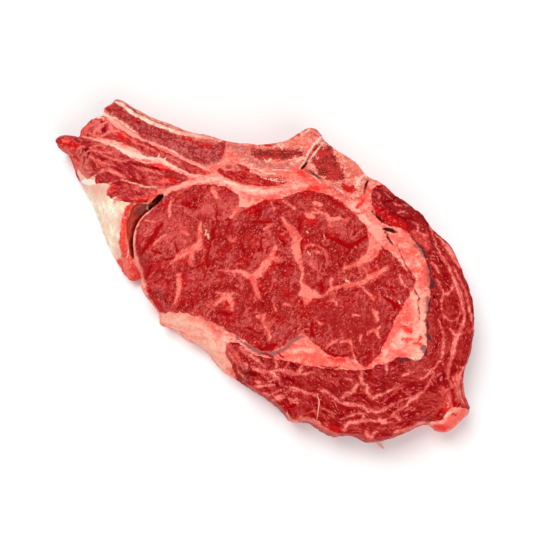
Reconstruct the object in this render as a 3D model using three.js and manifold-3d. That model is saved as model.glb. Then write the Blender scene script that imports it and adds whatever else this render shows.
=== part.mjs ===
// Raw bone-in ribeye steak, one cut about 28 mm thick.
// Units are millimetres. +Z is up, and the origin is at the middle of the underside.
// +X runs along the long eye muscle and +Y points towards the rib bone.
//
// The steak is one slab, cut along its seams into the muscles, bones and fat that run
// through its whole thickness. Each of them is a solid of its own.

import * as THREE from 'three';
import { mergeVertices } from 'three/addons/utils/BufferGeometryUtils.js';
import Module from 'manifold-3d';

const wasm = await Module();
wasm.setup();

// ---- Driving dimensions -------------------------------------------------------------

const THICKNESS = 28;          // the cut's thickness between its two sawn faces
const SEAM_GAP = 0.3;          // clear space between neighbouring pieces
const RELIEF_STEP = 5;         // spacing of the top face's relief
const RIM_STEP = 4.2;          // spacing of the points along the outer edge
const SEAM_STEP = 4.5;         // spacing of the points along the inner seams
const EDGE_FALL = 1.6;         // how far the top face falls towards its outer edge
const EDGE_REACH = 11;         // width of the band in which it falls
const MEMBRANE_LEVEL = 10;     // top of the membrane that closes the pocket below
const SMALLEST_PIECE = 150;    // loose scraps of fat under this volume are left out, mm3
const PROBE_RADIUS = 0.5;      // radius of the probe that finds which bed a piece is

// The outer wall from the underside up: height, and how far it stands in from the edge.
const WALL_PROFILE = [
  { height: 0, inset: 3 },
  { height: 2.5, inset: 1.1 },
  { height: 7, inset: 0.2 },
  { height: 14, inset: 0 },
  { height: 20, inset: 0.2 },
  { height: 24.5, inset: 1 },
  { height: 32, inset: 3.4 },
];

// Broad swells and hollows of the top face: centre, half lengths, height, turn in degrees.
const SWELLS = [
  { x: 10, y: -8, length: 52, width: 27, height: 2.2, turn: -12 },
  { x: -38, y: 8, length: 24, width: 24, height: 1, turn: 0 },
  { x: 98, y: -30, length: 12, width: 36, height: 1.4, turn: 12 },
  { x: 45, y: -76, length: 38, width: 11, height: 1.2, turn: -4 },
  { x: -75, y: 53, length: 26, width: 9, height: 1.5, turn: -24 },
  { x: 28, y: 66, length: 18, width: 9, height: 2, turn: -38 },
  { x: 79, y: -28, length: 8, width: 24, height: -1.6, turn: -18 },
  { x: 24, y: -50, length: 30, width: 5, height: -1.4, turn: -14 },
];

// Stretches of the edge where the outer fat or a thin flap slopes down to the board.
const BANKS = [
  { from: [-99, 45], to: [-80, 2], reach: 13, width: 17, drop: 20 },
  { from: [-55, -30], to: [-20, -58], reach: 10, width: 13, drop: 13 },
  { from: [-116, 70], to: [-104, 72], reach: 9, width: 13, drop: 11 },
  { from: [95, -90], to: [110, -78], reach: 9, width: 9, drop: 7 },
];

// ---- Outlines, as the points that a smooth closed curve runs through ----------------

const STEAK_EDGE = [
  [-115.3, 70], [-111.5, 73.5], [-102, 73.5], [-101.5, 77.5], [-96.5, 82.5], [-89.5, 85],
  [-89, 89], [-84, 92.5], [-82.5, 95], [-79, 95], [-71.5, 90.5], [-60.5, 84.5], [-52, 81],
  [-40.5, 76.5], [-28, 73.5], [-16, 70], [1.5, 68.5], [11, 69.5], [19.5, 74], [27, 78.5],
  [32, 77], [36.5, 71], [43, 65], [53, 58], [60, 50], [67, 46], [75, 39], [88.5, 28.5],
  [95.5, 18.5], [105, 9], [112, -9.5], [115, -21], [115.2, -34], [113.5, -44.5],
  [108, -62], [109, -70.5], [111, -78], [105.5, -85], [97, -90], [90, -86], [83, -87],
  [74, -91.5], [56.5, -95], [49.5, -92], [36.5, -91.5], [25, -84.5], [16.5, -84.5],
  [10.5, -78], [-10, -64], [-18.5, -59], [-32.5, -44], [-39.5, -41], [-49.5, -33.5],
  [-54.5, -32], [-56, -25.5], [-64, -15], [-68.5, -7.5], [-73.5, -8.5], [-81, 1],
  [-87, 15], [-97.5, 40.5], [-107.5, 63], [-111.5, 66.5],
];

const RIB_BONE = [
  [-88.5, 86], [-90.5, 90.5], [-82.5, 99], [-56.5, 88], [-17.5, 75], [-19, 62.5],
  [-20.5, 57.5], [-31, 54], [-43.5, 59], [-57, 65.5], [-70.5, 73], [-82.5, 81.5],
];

const CHINE_BONE = [
  [-17, 63.5], [-17, 72], [11, 74], [24, 83], [38, 76], [36.5, 68.5], [30.5, 63],
  [25.5, 55.5], [21, 52.5], [1, 53], [-7.5, 56], [-13.5, 59],
];

const FEATHER_BONE = [
  [37.2, 68.5], [47, 66.5], [66, 54.5], [62.5, 47], [57.5, 44.5], [56.5, 39], [53, 35.5],
  [47, 34.5], [40.5, 40.5], [28.5, 49], [26, 53.5], [31.5, 62],
];

const RIB_MEAT = [
  [-92.5, 70.5], [-103.5, 75], [-97, 86], [-90, 85], [-79.5, 76], [-72.5, 72], [-58, 65],
  [-43.5, 57.5], [-31, 52], [-27, 49.5], [-30.5, 48.5], [-37.5, 49.5], [-54, 56],
  [-62.5, 59], [-69, 63.5], [-84, 69.5],
];

const FLANK_MEAT = [
  [-119, 68.5], [-115, 76], [-104, 72], [-89.5, 67.5], [-77.5, 63], [-68.5, 56.5],
  [-53.5, 53], [-39, 46.5], [-44, 43.5], [-52.5, 40.5], [-65, 43], [-73, 44.5],
  [-76.5, 49], [-84.5, 52], [-97.5, 50.5], [-106, 53], [-112.5, 60.5],
];

const LOWER_FLANK_MEAT = [
  [-91.5, 47], [-84, 50.5], [-78, 48], [-74, 43.5], [-65, 41.5], [-57.5, 40.5],
  [-57, 38.5], [-61.5, 34.5], [-68, 33], [-76, 33.5], [-82, 35.5], [-85, 39],
];

const SEAM_MEAT = [
  [-25, 51], [-20.5, 54.5], [-14, 55.5], [-7.5, 54], [-1, 49], [10, 47.5], [16, 44.5],
  [10, 42], [-1, 41.5], [-10.5, 43], [-17, 45.5],
];

const EYE_MUSCLE = [
  [-50.5, 37.5], [-42, 41.5], [-27, 43], [-14.5, 39.5], [-11, 35], [-12.5, 30.5],
  [-4, 31], [4, 34.5], [13, 35.5], [23, 39], [37, 37.5], [49, 29], [62, 13], [77.5, -3],
  [82.5, -10], [81, -16], [71.5, -31.5], [68, -39], [60.5, -52], [55, -56], [49, -52],
  [37.5, -50.5], [28.5, -44], [23, -39], [16.5, -42.5], [9, -47], [1, -48], [-8, -43],
  [-15.5, -38.5], [-29, -31.5], [-42, -27.5], [-53.5, -26], [-62, -14], [-67.5, 6.5],
  [-67.5, 15.5], [-65.5, 22], [-60.5, 27],
];

const CAP_MUSCLE = [
  [61.5, 40.5], [66, 44], [78, 42], [94, 28], [113, 9], [123, -15.5], [121, -48],
  [112, -61], [113, -72], [105.5, -75.5], [95.5, -81.5], [89.5, -85.5], [87, -92],
  [72.5, -99], [57, -101], [36.5, -98], [13, -90], [-10.5, -73], [-13, -60.5],
  [-18, -48], [-17.5, -44], [-11, -44], [-4, -49.5], [5.5, -51.5], [21, -55.5],
  [30.5, -57.5], [51, -58.8], [60.5, -57.2], [66, -58.5], [73, -52.5], [83.5, -53],
  [88, -41.5], [87.5, -32], [90, -21], [90.5, -4.5], [87.5, 4.5], [82.5, 13],
  [75.5, 18.5], [67.5, 21], [62.5, 27.5],
];

// The open pocket between the outer flap and the eye muscle.
const POCKET = [
  [-69, 32.5], [-62.5, 33], [-58, 36], [-54, 40], [-52.5, 37.5], [-56.5, 33], [-62, 27.5],
  [-66.5, 22], [-68.8, 15.5], [-69.2, 7.5], [-69.6, 2.5], [-71, 5.5], [-72.5, 12],
  [-73, 20], [-72, 27.5],
];

// Narrow places where one bed of fat ends and the next begins: the two ends of each.
const FAT_PARTINGS = [
  [[-70.2, 4], [-68, -11]],
  [[-56.5, 37], [-51, 33]],
  [[-5, -43], [-14, -47]],
  [[55.7, -54], [55.7, -61]],
  [[60.5, 6], [69.5, 26]],
];

// One named point inside each bed of fat.
const FAT_BEDS = {
  flap_fat: [-83, 20],
  seam_fat: [0, 38],
  rim_fat: [-33, -38],
  wedge_fat: [24, -49],
  kernel_fat: [76, -40],
  corner_fat: [104, -81],
};

const COLOURS = {
  lean: 0xb8322e,
  darkLean: 0xa83232,
  fat: 0xf6b4a0,
  paleFat: 0xfbe6d2,
  bone: 0xd87c72,
  membrane: 0x8c3024,
};

// ---- Outline helpers ----------------------------------------------------------------

/** Points at even spacing along a smooth closed curve, turned anticlockwise. */
function smoothOutline(points, spacing) {
  const curve = new THREE.CatmullRomCurve3(
    points.map(([x, y]) => new THREE.Vector3(x, y, 0)), true, 'centripetal');
  const count = Math.round(curve.getLength() / spacing);
  const outline = curve.getSpacedPoints(count).slice(0, count)
    .map((point) => new THREE.Vector2(point.x, point.y));
  return THREE.ShapeUtils.isClockWise(outline) ? outline.reverse() : outline;
}

/** The outward direction at a point of an anticlockwise outline. */
function outwardAt(outline, index, span) {
  const count = outline.length;
  const before = outline[(index - span + count) % count];
  const after = outline[(index + span) % count];
  return new THREE.Vector2(after.y - before.y, before.x - after.x).normalize();
}

/** The outline moved outwards by an amount, or inwards where it is negative. */
function grownOutline(outline, amount, span = 1) {
  return outline.map((point, index) =>
    point.clone().addScaledVector(outwardAt(outline, index, span), amount));
}

/** Distance from a point to the straight line between two others. */
function distanceToStretch(point, from, to) {
  const stretch = to.clone().sub(from);
  const along = THREE.MathUtils.clamp(
    point.clone().sub(from).dot(stretch) / stretch.lengthSq(), 0, 1);
  return point.distanceTo(from.clone().addScaledVector(stretch, along));
}

/** Whether a point lies inside a closed outline. */
function isInside(outline, point) {
  let inside = false;
  outline.forEach((here, index) => {
    const next = outline[(index + 1) % outline.length];
    const crosses = (here.y > point.y) !== (next.y > point.y);
    const crossing = here.x + (point.y - here.y) * (next.x - here.x) / (next.y - here.y);
    if (crosses && point.x < crossing) {
      inside = !inside;
    }
  });
  return inside;
}

/** Distance from a point to an outline, positive inside it. */
function depthInside(outline, point) {
  const distances = outline.map((here, index) =>
    distanceToStretch(point, here, outline[(index + 1) % outline.length]));
  const nearest = Math.min(...distances);
  return isInside(outline, point) ? nearest : -nearest;
}

// ---- Solids -------------------------------------------------------------------------

/** A solid for cutting, from a closed three.js geometry. */
function solidOf(geometry) {
  const bare = geometry.clone();
  bare.deleteAttribute('normal');
  bare.deleteAttribute('uv');
  const merged = mergeVertices(bare, 1e-4);
  return new wasm.Manifold(new wasm.Mesh({
    numProp: 3,
    vertProperties: new Float32Array(merged.attributes.position.array),
    triVerts: new Uint32Array(merged.index.array),
  }));
}

/** A three.js geometry, from a solid. */
function geometryOf(solid) {
  const { vertProperties, triVerts } = solid.getMesh();
  const geometry = new THREE.BufferGeometry();
  geometry.setAttribute('position', new THREE.BufferAttribute(vertProperties, 3));
  geometry.setIndex(new THREE.BufferAttribute(triVerts, 1));
  geometry.computeVertexNormals();
  return geometry;
}

/** An upright column over an outline, between two heights. */
function column(outline, low, high) {
  const geometry = new THREE.ExtrudeGeometry(
    new THREE.Shape(outline), { depth: high - low, bevelEnabled: false, steps: 1 });
  return solidOf(geometry.translate(0, 0, low));
}

/** A closed wall through rings of equal count, stacked from the bottom up. */
function loftedSolid(rings) {
  const count = rings[0].length;
  const positions = rings.flat().flatMap((point) => [point.x, point.y, point.z]);
  const faces = [];
  for (let level = 0; level < rings.length - 1; level += 1) {
    for (let index = 0; index < count; index += 1) {
      const next = (index + 1) % count;
      const low = level * count;
      const high = low + count;
      faces.push(low + index, low + next, high + next);
      faces.push(low + index, high + next, high + index);
    }
  }
  const top = (rings.length - 1) * count;
  THREE.ShapeUtils.triangulateShape(rings[0], []).forEach(([a, b, c]) => faces.push(a, c, b));
  THREE.ShapeUtils.triangulateShape(rings.at(-1), [])
    .forEach(([a, b, c]) => faces.push(top + a, top + b, top + c));
  const geometry = new THREE.BufferGeometry();
  geometry.setAttribute('position', new THREE.Float32BufferAttribute(positions, 3));
  geometry.setIndex(faces);
  return solidOf(geometry);
}

/** How much a swell lifts the top face at a point. */
function swellLift(swell, point) {
  const local = point.clone().sub(new THREE.Vector2(swell.x, swell.y))
    .rotateAround(new THREE.Vector2(), -THREE.MathUtils.degToRad(swell.turn));
  const reach = (local.x / swell.length) ** 2 + (local.y / swell.width) ** 2;
  return swell.height * Math.exp(-reach);
}

/** How much a bank lowers the top face at a point this deep inside the edge. */
function bankFall(bank, point, depth) {
  const away = distanceToStretch(
    point, new THREE.Vector2(...bank.from), new THREE.Vector2(...bank.to));
  const near = 1 - THREE.MathUtils.smoothstep(away, bank.reach, 1.8 * bank.reach);
  const slope = THREE.MathUtils.clamp(1 - depth / bank.width, 0, 1.2);
  return bank.drop * near * slope ** 1.4;
}

/** Height of the top face. */
function topHeight(edge, point) {
  const depth = depthInside(edge, point);
  const swell = SWELLS.reduce((sum, one) => sum + swellLift(one, point), 0);
  const bank = BANKS.reduce((sum, one) => sum + bankFall(one, point, depth), 0);
  const roll = EDGE_FALL * THREE.MathUtils.clamp(1 - depth / EDGE_REACH, 0, 1.5) ** 2;
  return THICKNESS + swell - bank - roll;
}

/** A block with the relief of the top face. */
function reliefBlock(edge) {
  const box = new THREE.Box2().setFromPoints(edge).expandByScalar(RELIEF_STEP);
  const size = box.getSize(new THREE.Vector2());
  const middle = box.getCenter(new THREE.Vector2());
  const block = new THREE.BoxGeometry(
    size.x, size.y, THICKNESS,
    Math.ceil(size.x / RELIEF_STEP), Math.ceil(size.y / RELIEF_STEP), 1);
  block.translate(middle.x, middle.y, THICKNESS / 2 - 1);
  const positions = block.attributes.position;
  for (let index = 0; index < positions.count; index += 1) {
    if (positions.getZ(index) > 0) {
      const point = new THREE.Vector2(positions.getX(index), positions.getY(index));
      positions.setZ(index, topHeight(edge, point));
    }
  }
  return solidOf(block);
}

/** The whole cut before its seams are parted. */
function steakSlab(edge) {
  const rings = WALL_PROFILE.map(({ height, inset }) =>
    grownOutline(edge, -inset, 2).map((point) => new THREE.Vector3(point.x, point.y, height)));
  return loftedSolid(rings).intersect(reliefBlock(edge));
}

/** A narrow upright cut between two points. */
function partingCut([from, to]) {
  const start = new THREE.Vector2(...from);
  const end = new THREE.Vector2(...to);
  const side = end.clone().sub(start).normalize()
    .rotateAround(new THREE.Vector2(), Math.PI / 2)
    .multiplyScalar(SEAM_GAP / 2);
  const corners = [
    start.clone().sub(side), end.clone().sub(side), end.clone().add(side), start.clone().add(side),
  ];
  return column(corners, -1, 2 * THICKNESS);
}

/** A slender upright probe at a point. */
function probeAt([x, y]) {
  const needle = new THREE.CylinderGeometry(PROBE_RADIUS, PROBE_RADIUS, 2 * THICKNESS, 6);
  return solidOf(needle.rotateX(Math.PI / 2).translate(x, y, THICKNESS));
}

/** The name of the bed whose point lies in a loose piece of fat, if there is one. */
function bedOf(piece) {
  const claim = Object.entries(FAT_BEDS)
    .find(([, point]) => !piece.intersect(probeAt(point)).isEmpty());
  return claim ? claim[0] : null;
}

/** The largest closed body of a solid, without the scraps that a cut leaves. */
function mainBody(solid) {
  return solid.decompose().reduce((best, piece) => (piece.volume() > best.volume() ? piece : best));
}

// ---- The steak ----------------------------------------------------------------------

/** A named mesh with its own material. */
function namedMesh(name, solid, colour, roughness) {
  const material = new THREE.MeshStandardMaterial({ color: colour, roughness, metalness: 0 });
  const mesh = new THREE.Mesh(geometryOf(solid), material);
  mesh.name = name;
  return mesh;
}

/** Every muscle, bone and membrane as a piece of the slab, and the columns they take up. */
function cutPieces(slab) {
  const plans = [
    { name: 'chine_bone', outline: CHINE_BONE, colour: COLOURS.bone, roughness: 0.5 },
    { name: 'feather_bone', outline: FEATHER_BONE, colour: COLOURS.bone, roughness: 0.5 },
    { name: 'rib_bone', outline: RIB_BONE, colour: COLOURS.bone, roughness: 0.5 },
    { name: 'eye_muscle', outline: EYE_MUSCLE, colour: COLOURS.lean, roughness: 0.4 },
    { name: 'cap_muscle', outline: CAP_MUSCLE, colour: COLOURS.darkLean, roughness: 0.4 },
    { name: 'flank_meat', outline: FLANK_MEAT, colour: COLOURS.lean, roughness: 0.4 },
    { name: 'rib_meat', outline: RIB_MEAT, colour: COLOURS.lean, roughness: 0.4 },
    { name: 'lower_flank_meat', outline: LOWER_FLANK_MEAT, colour: COLOURS.lean, roughness: 0.4 },
    { name: 'seam_meat', outline: SEAM_MEAT, colour: COLOURS.darkLean, roughness: 0.4 },
    { name: 'pocket_membrane', outline: POCKET, colour: COLOURS.membrane, roughness: 0.3 },
  ];
  const meshes = [];
  let taken = null;
  plans.forEach(({ name, outline, colour, roughness }) => {
    const edge = smoothOutline(outline, SEAM_STEP);
    const top = name === 'pocket_membrane' ? MEMBRANE_LEVEL : 2 * THICKNESS;
    let solid = slab.intersect(column(edge, -1, top));
    if (taken) {
      solid = solid.subtract(taken);
    }
    meshes.push(namedMesh(name, mainBody(solid), colour, roughness));
    const room = column(grownOutline(edge, SEAM_GAP), -2, 2 * THICKNESS + 1)
      .add(column(edge, -2, 2 * THICKNESS + 1));
    taken = taken ? taken.add(room) : room;
  });
  return { meshes, taken };
}

/** The beds of fat: what the muscles and bones leave of the slab. */
function fatBeds(slab, taken) {
  const cuts = FAT_PARTINGS.map(partingCut).reduce((sum, one) => sum.add(one));
  const meshes = [];
  slab.subtract(taken).subtract(cuts).decompose().forEach((piece) => {
    const name = bedOf(piece);
    if (name && piece.volume() > SMALLEST_PIECE) {
      const colour = name === 'flap_fat' ? COLOURS.paleFat : COLOURS.fat;
      meshes.push(namedMesh(name, piece, colour, 0.45));
    }
  });
  return meshes;
}

const slab = steakSlab(smoothOutline(STEAK_EDGE, RIM_STEP));
const { meshes, taken } = cutPieces(slab);

const steak = new THREE.Group();
steak.add(...meshes, ...fatBeds(slab, taken));

export default steak;
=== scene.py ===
"""Looks of a raw bone-in ribeye steak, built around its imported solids.

The steak is one slab, cut along its seams. Every piece is made in the same three steps: a
depth field over a fine grid says where the piece lies, the field is turned into a flat
patch, and the patch becomes a closed body between the underside and the top face. Pieces
that touch share their seam, because they share the grid. Strands and crumbs that lie loose
on the cut are grown with Geometry Nodes. Lengths are in millimetres until a mesh is written.
"""

import logging
import math
from dataclasses import dataclass
from enum import Enum

import bpy
import numpy as np
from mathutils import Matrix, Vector


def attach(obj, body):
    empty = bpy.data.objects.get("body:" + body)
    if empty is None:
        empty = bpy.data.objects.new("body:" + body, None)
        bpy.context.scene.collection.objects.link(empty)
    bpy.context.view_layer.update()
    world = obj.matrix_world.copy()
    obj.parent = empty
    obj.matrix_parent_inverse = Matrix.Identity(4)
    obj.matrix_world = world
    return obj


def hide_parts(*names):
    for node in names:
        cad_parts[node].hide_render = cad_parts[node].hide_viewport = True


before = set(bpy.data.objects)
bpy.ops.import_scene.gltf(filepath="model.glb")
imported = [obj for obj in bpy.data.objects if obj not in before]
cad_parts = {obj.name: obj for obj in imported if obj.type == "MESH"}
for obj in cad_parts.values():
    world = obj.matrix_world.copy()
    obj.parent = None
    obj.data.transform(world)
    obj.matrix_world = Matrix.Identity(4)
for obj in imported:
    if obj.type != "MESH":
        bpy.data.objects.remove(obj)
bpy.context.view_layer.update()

log = logging.getLogger("steak")

# ---- Driving sizes, in millimetres ------------------------------------------------------

MM = 0.001                # metres in a millimetre
THICKNESS = 28.0          # between the two sawn faces
EDGE_FALL = 1.6           # how far the top face falls towards its outer edge
EDGE_REACH = 11.0         # width of the band in which it falls
LIP_DROP = 1.1            # further rounding of the top face at its very edge
LIP_REACH = 2.6           # width of that rounding
BULGE_REACH = 5.0         # how far inside the edge the wall's bulge is felt
WALL_RINGS = 10           # rings of faces down a wall
FIELD_LIMIT = 6.0         # depths beyond this aren't told apart
OUTLINE_SPACING = 1.4     # between the points of a smooth outline
EDGE_MARGIN = 40.0        # how far outside the steak's own outline depths are worked out
STROKE_SPACING = 0.9      # between the points of a smooth brush stroke
FRAY_SIZE = 3.4           # length of the frays along a ragged border
STROKE_FRAY = 0.45        # how far the border of a mark is frayed
BROAD_SEED, FINE_SEED = 11, 23   # seeds of the two reliefs
FLOW_CENTRE = (20.0, -15.0)      # the middle that a round grain goes round
FLOW_RADIUS = 80.0        # where a round grain is as long as it would be if it were straight

# How far the borders of the pieces are frayed, and those of the pieces that aren't named.
PIECE_FRAY = {"pocket": 0.1, "eye_muscle": 0.75, "cap_muscle": 0.75, "flap_fat": 0.1}
OTHER_FRAY = 0.5

# Heights of the relief of the top face.
WAVE = 0.45               # broad waves, weaker over bone
RIPPLE = 0.22             # ripples within them
GRAIN, FOLD = 0.2, 0.3    # grain and folds of the lean
FAT_GRAIN = 0.05          # grain of everything else
LEAN_STEP = 0.35          # how far the lean swells over its border
BONE_STEP = 0.35          # how far the bones lie under it
SEAM_GROOVE = 0.3         # depth of the seams
VEIN_RIDGE = 0.3          # how far the veins stand over the lean
# the pale marks that this raises include the painted highlights
SKIN_RIDGE = 0.45         # how far the pale skins and threads do
LOBE_RIDGE = 0.6          # how far the dark lobes of the cap do
PIT, PIT_SPREAD = 0.3, 0.6      # depth of the marrow, and of the pits in it
SPLIT, SPLIT_SLOPE = 0.7, 1.6   # depth of a cleft at its border, and its fall from there on
CREASE_GROOVE = 0.6       # depth of the soft creases
BRIM_FALL, FLAP_FALL = 0.5, 2.6   # fall towards the pocket, and what the flap adds to it
BRIM_REACH = 1.8          # width of that fall
WANDER = 0.12             # how far the marks stray for each millimetre down a wall

# The outer wall from the underside up: heights, how far it stands in there, and its relief.
WALL_HEIGHTS = (0.0, 2.5, 7.0, 14.0, 20.0, 24.5, 32.0)
WALL_INSETS = (3.0, 1.1, 0.2, 0.0, 0.2, 1.0, 3.4)
WALL_WAVE, WALL_RIPPLE = 0.55, 0.18

Array = np.ndarray
Stroke = tuple[tuple[float, float, float], ...]   # x, y and width along a brush stroke
Points = tuple[tuple[float, float], ...]


@dataclass(frozen=True)
class Swell:
    """A broad swell or hollow of the top face.

    Args:
        x: Centre along the steak.
        y: Centre across the steak.
        length: Half length of the swell.
        width: Half width of the swell.
        height: Lift at the centre, negative for a hollow.
        turn: Turn of its length, in degrees.
    """

    x: float
    y: float
    length: float
    width: float
    height: float
    turn: float


@dataclass(frozen=True)
class Bank:
    """A stretch of the edge where the top face slopes down to the board.

    Args:
        start: One end of the stretch.
        end: The other end.
        reach: How far along and around the stretch the slope holds.
        width: Width of the slope, from the edge inwards.
        drop: Fall at the edge.
    """

    start: tuple[float, float]
    end: tuple[float, float]
    reach: float
    width: float
    drop: float


SWELLS = (
    Swell(10, -8, 52, 27, 2.2, -12),
    Swell(-38, 8, 24, 24, 1, 0),
    Swell(98, -30, 12, 36, 1.4, 12),
    Swell(45, -76, 38, 11, 1.2, -4),
    Swell(-75, 53, 26, 9, 1.5, -24),
    Swell(28, 66, 18, 9, 2, -38),
    Swell(79, -28, 8, 24, -1.6, -18),
    Swell(24, -50, 30, 5, -1.4, -14),
)

BANKS = (
    Bank((-99, 45), (-80, 2), 13, 17, 20),
    Bank((-55, -30), (-20, -58), 10, 13, 13),
    Bank((-116, 70), (-104, 72), 9, 12, 6),
    Bank((95, -90), (110, -78), 9, 9, 7),
)

# ---- Outlines, as the points that a smooth closed curve runs through ---------------------

STEAK_EDGE: Points = (
    (-116, 71.3), (-115.2, 73.3), (-112.5, 74.5), (-107, 74.8), (-102.5, 74.3),
    (-102, 77.8), (-96.5, 82.5), (-89.5, 85),
    (-89, 89), (-84, 92.5), (-82.5, 95), (-79, 95), (-71.5, 90.5), (-60.5, 84.5), (-52, 81),
    (-40.5, 76.5), (-28, 73.5), (-16, 70), (1.5, 68.5), (11, 69.5), (19.5, 74), (27, 78.5),
    (32, 77), (36.5, 71), (43, 65), (53, 58), (60, 50), (67, 46), (75, 39), (88.5, 28.5),
    (95.5, 18.5), (105, 9), (112, -9.5), (115, -21), (115.2, -34), (113.5, -44.5), (108, -62),
    (109, -70.5), (111, -78), (105.5, -85), (97, -90), (90, -86), (83, -87), (74, -91.5),
    (56.5, -95), (49.5, -92), (36.5, -91.5), (25, -84.5), (16.5, -84.5), (10.5, -78),
    (-10, -64), (-18.5, -59), (-32.5, -44), (-39.5, -41), (-49.5, -33.5), (-54.5, -32),
    (-56, -25.5), (-64, -15), (-67.5, -5.5), (-70.5, -7), (-74.5, -5.5), (-81, 4), (-87, 15),
    (-97.8, 40.8), (-102.3, 47.5), (-105.8, 53.5), (-107.6, 58.5), (-108.3, 63.5),
    (-109, 66.3), (-112.3, 68), (-115, 69.3),
)

RIB_BONE: Points = (
    (-88.5, 86), (-90.5, 90.5), (-82.5, 99), (-56.5, 88), (-17.5, 75), (-19, 62.5),
    (-20.5, 57.5), (-31, 54), (-43.5, 59), (-57, 65.5), (-70.5, 73), (-82.5, 81.5),
)

CHINE_BONE: Points = (
    (-17, 63.5), (-17, 72), (11, 74), (24, 83), (38, 76), (36.5, 68.5), (30.5, 63),
    (25.5, 55.5), (21, 52.5), (1, 53), (-7.5, 56), (-13.5, 59),
)

FEATHER_BONE: Points = (
    (37.2, 68.5), (47, 66.5), (66, 54.5), (62.5, 47), (57.5, 44.5), (56.5, 39), (53, 35.5),
    (47, 34.5), (40.5, 40.5), (28.5, 49), (26, 53.5), (31.5, 62),
)

RIB_MEAT: Points = (
    (-92.5, 70.5), (-103.5, 75), (-97, 86), (-90, 85), (-79.5, 76), (-72.5, 72), (-58, 65),
    (-43.5, 57.5), (-31, 52), (-27, 49.5), (-30.5, 48.5), (-37.5, 49.5), (-54, 56),
    (-62.5, 59), (-69, 63.5), (-84, 69.5),
)

FLANK_MEAT: Points = (
    (-120, 66), (-118, 79), (-107, 78), (-102.5, 73.5), (-89.5, 67.5), (-77.5, 63), (-68.5, 56.5),
    (-53.5, 53), (-39, 46.5), (-44, 43.5), (-52.5, 40.5), (-65, 43), (-73, 44.5), (-76.8, 48.4),
    (-84.5, 50.8), (-97, 50.3), (-106, 53), (-112.5, 60.5),
)

FLANK_LOBE: Points = (
    (-92.5, 46.5), (-91, 50), (-88, 50.5), (-83.5, 50), (-79, 48.5), (-75, 46.5), (-80, 44.5),
    (-84.5, 44.5), (-88.5, 45.5),
)

LOWER_FLANK_LOBE: Points = (
    (-81, 44), (-74.5, 45), (-67, 43), (-60.5, 41.5), (-56, 40.5), (-56.5, 38), (-59.5, 35.5),
    (-62.5, 33.5), (-67, 33), (-74, 33.5), (-80, 34.8), (-83, 36.8), (-85.3, 38.8), (-83, 41),
)

SEAM_MEAT: Points = (
    (-25, 51), (-20.5, 54.5), (-14, 55.5), (-7.5, 54), (-1, 49), (10, 47.5), (16, 44.5),
    (10, 42), (-1, 41.5), (-10.5, 43), (-17, 45.5),
)

EYE_MUSCLE: Points = (
    (-50.5, 37.5), (-42, 41.5), (-27, 43), (-14.5, 39.5), (-11, 35), (-12.5, 30.5), (-4, 31),
    (4, 34.5), (13, 35.5), (23, 39), (37, 37.5), (49, 29), (62, 13), (77.5, -3), (82.5, -10),
    (81, -16), (71.5, -31.5), (68, -39), (60.5, -52), (55, -56), (49, -52), (37.5, -50.5),
    (28.5, -44), (23, -39), (16.5, -42.5), (9, -47), (1, -48), (-8, -43), (-15.5, -38.5),
    (-29, -31.5), (-42, -27.5), (-53.5, -26), (-62, -14), (-67.5, 6.5), (-67.5, 15.5),
    (-65.5, 22), (-60.5, 27),
)

CAP_MUSCLE: Points = (
    (61.5, 40.5), (66, 44), (78, 42), (94, 28), (113, 9), (123, -15.5), (121, -48),
    (112, -61), (113, -76), (110.5, -78), (102.5, -77), (97, -79.5), (94.5, -83.5), (89, -85),
    (87, -92),
    (72.5, -99), (57, -101), (36.5, -98), (13, -90), (-10.5, -73), (-13, -60.5), (-18, -48),
    (-17.5, -44), (-11, -44), (-4, -49.5), (5.5, -51.5), (21, -54.6), (31, -56.4),
    (51, -58), (58.5, -57.4), (62, -54.8), (66, -55), (73, -51), (83.5, -53), (88, -41.5),
    (87.5, -32), (90, -21), (90.5, -4.5), (87.5, 4.5), (82.5, 13), (75.5, 18.5), (67.5, 21),
    (62.5, 27.5),
)

POCKET: Points = (
    (-68.5, 32.5), (-61, 33), (-58, 34.5), (-55, 37), (-53, 37), (-53.5, 35), (-56.5, 32.5),
    (-60, 28.5), (-63, 26), (-66.5, 21.5), (-68, 17.5), (-69, 11), (-69, 3.5), (-70.5, 3.5),
    (-71.5, 9.5), (-73, 17.5), (-73, 22), (-71.5, 26), (-70.5, 29.5),
)

# Broad places where the tissue is paler than the rest of its kind.
PALER: tuple[Stroke, ...] = (
    ((-60, 22, 8), (-48, 20, 14), (-38, 10, 12)),
    ((-30, 30, 6), (-18, 32, 8)),
    ((84, -20, 6), (86, -42, 8), (80, -56, 6)),
    ((-54, -29.5, 5), (-43, -31.5, 8), (-32, -39, 10), (-23, -47, 9), (-19, -55, 6)),
)

# Broad places where it is deeper in colour.
DEEPER: tuple[Stroke, ...] = (
    ((30, -20, 10), (55, -40, 14), (62, -30, 10)),
    ((-84, -2, 8), (-78, 10, 6)),
    ((-97, 46.5, 4), (-92.5, 44.5, 8), (-87, 41, 6)),
    ((21.5, 50.5, 5), (26.5, 47, 8), (32, 43.5, 6)),
    ((94, -86, 6), (101, -85, 6), (107, -80, 5)),
    ((-101, 49, 4), (-96, 47, 6), (-90, 43.5, 6), (-85, 41, 4)),
    ((-76, 28, 4), (-77.5, 20, 3)),
    ((18, -48, 6), (26, -50, 8), (34, -53, 6)),
)

# Places where small crumbs of fat lie on the cut.
CRUMBS: tuple[Stroke, ...] = (
    ((30, -58, 4), (35, -62, 5)),
    ((68.5, -60, 4), (71, -63.5, 5), (73.5, -67, 4)),
)

# The side of the outer fat that belongs to the flap.
FLAP_SIDE: Points = (
    (-75, -30), (-68, -11), (-70.2, 4), (-71, 12), (-70.5, 20), (-68, 28), (-60, 34.5),
    (-66, 36), (-76, 38), (-84, 44), (-90, 48), (-120, 60), (-120, -30),
)

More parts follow.
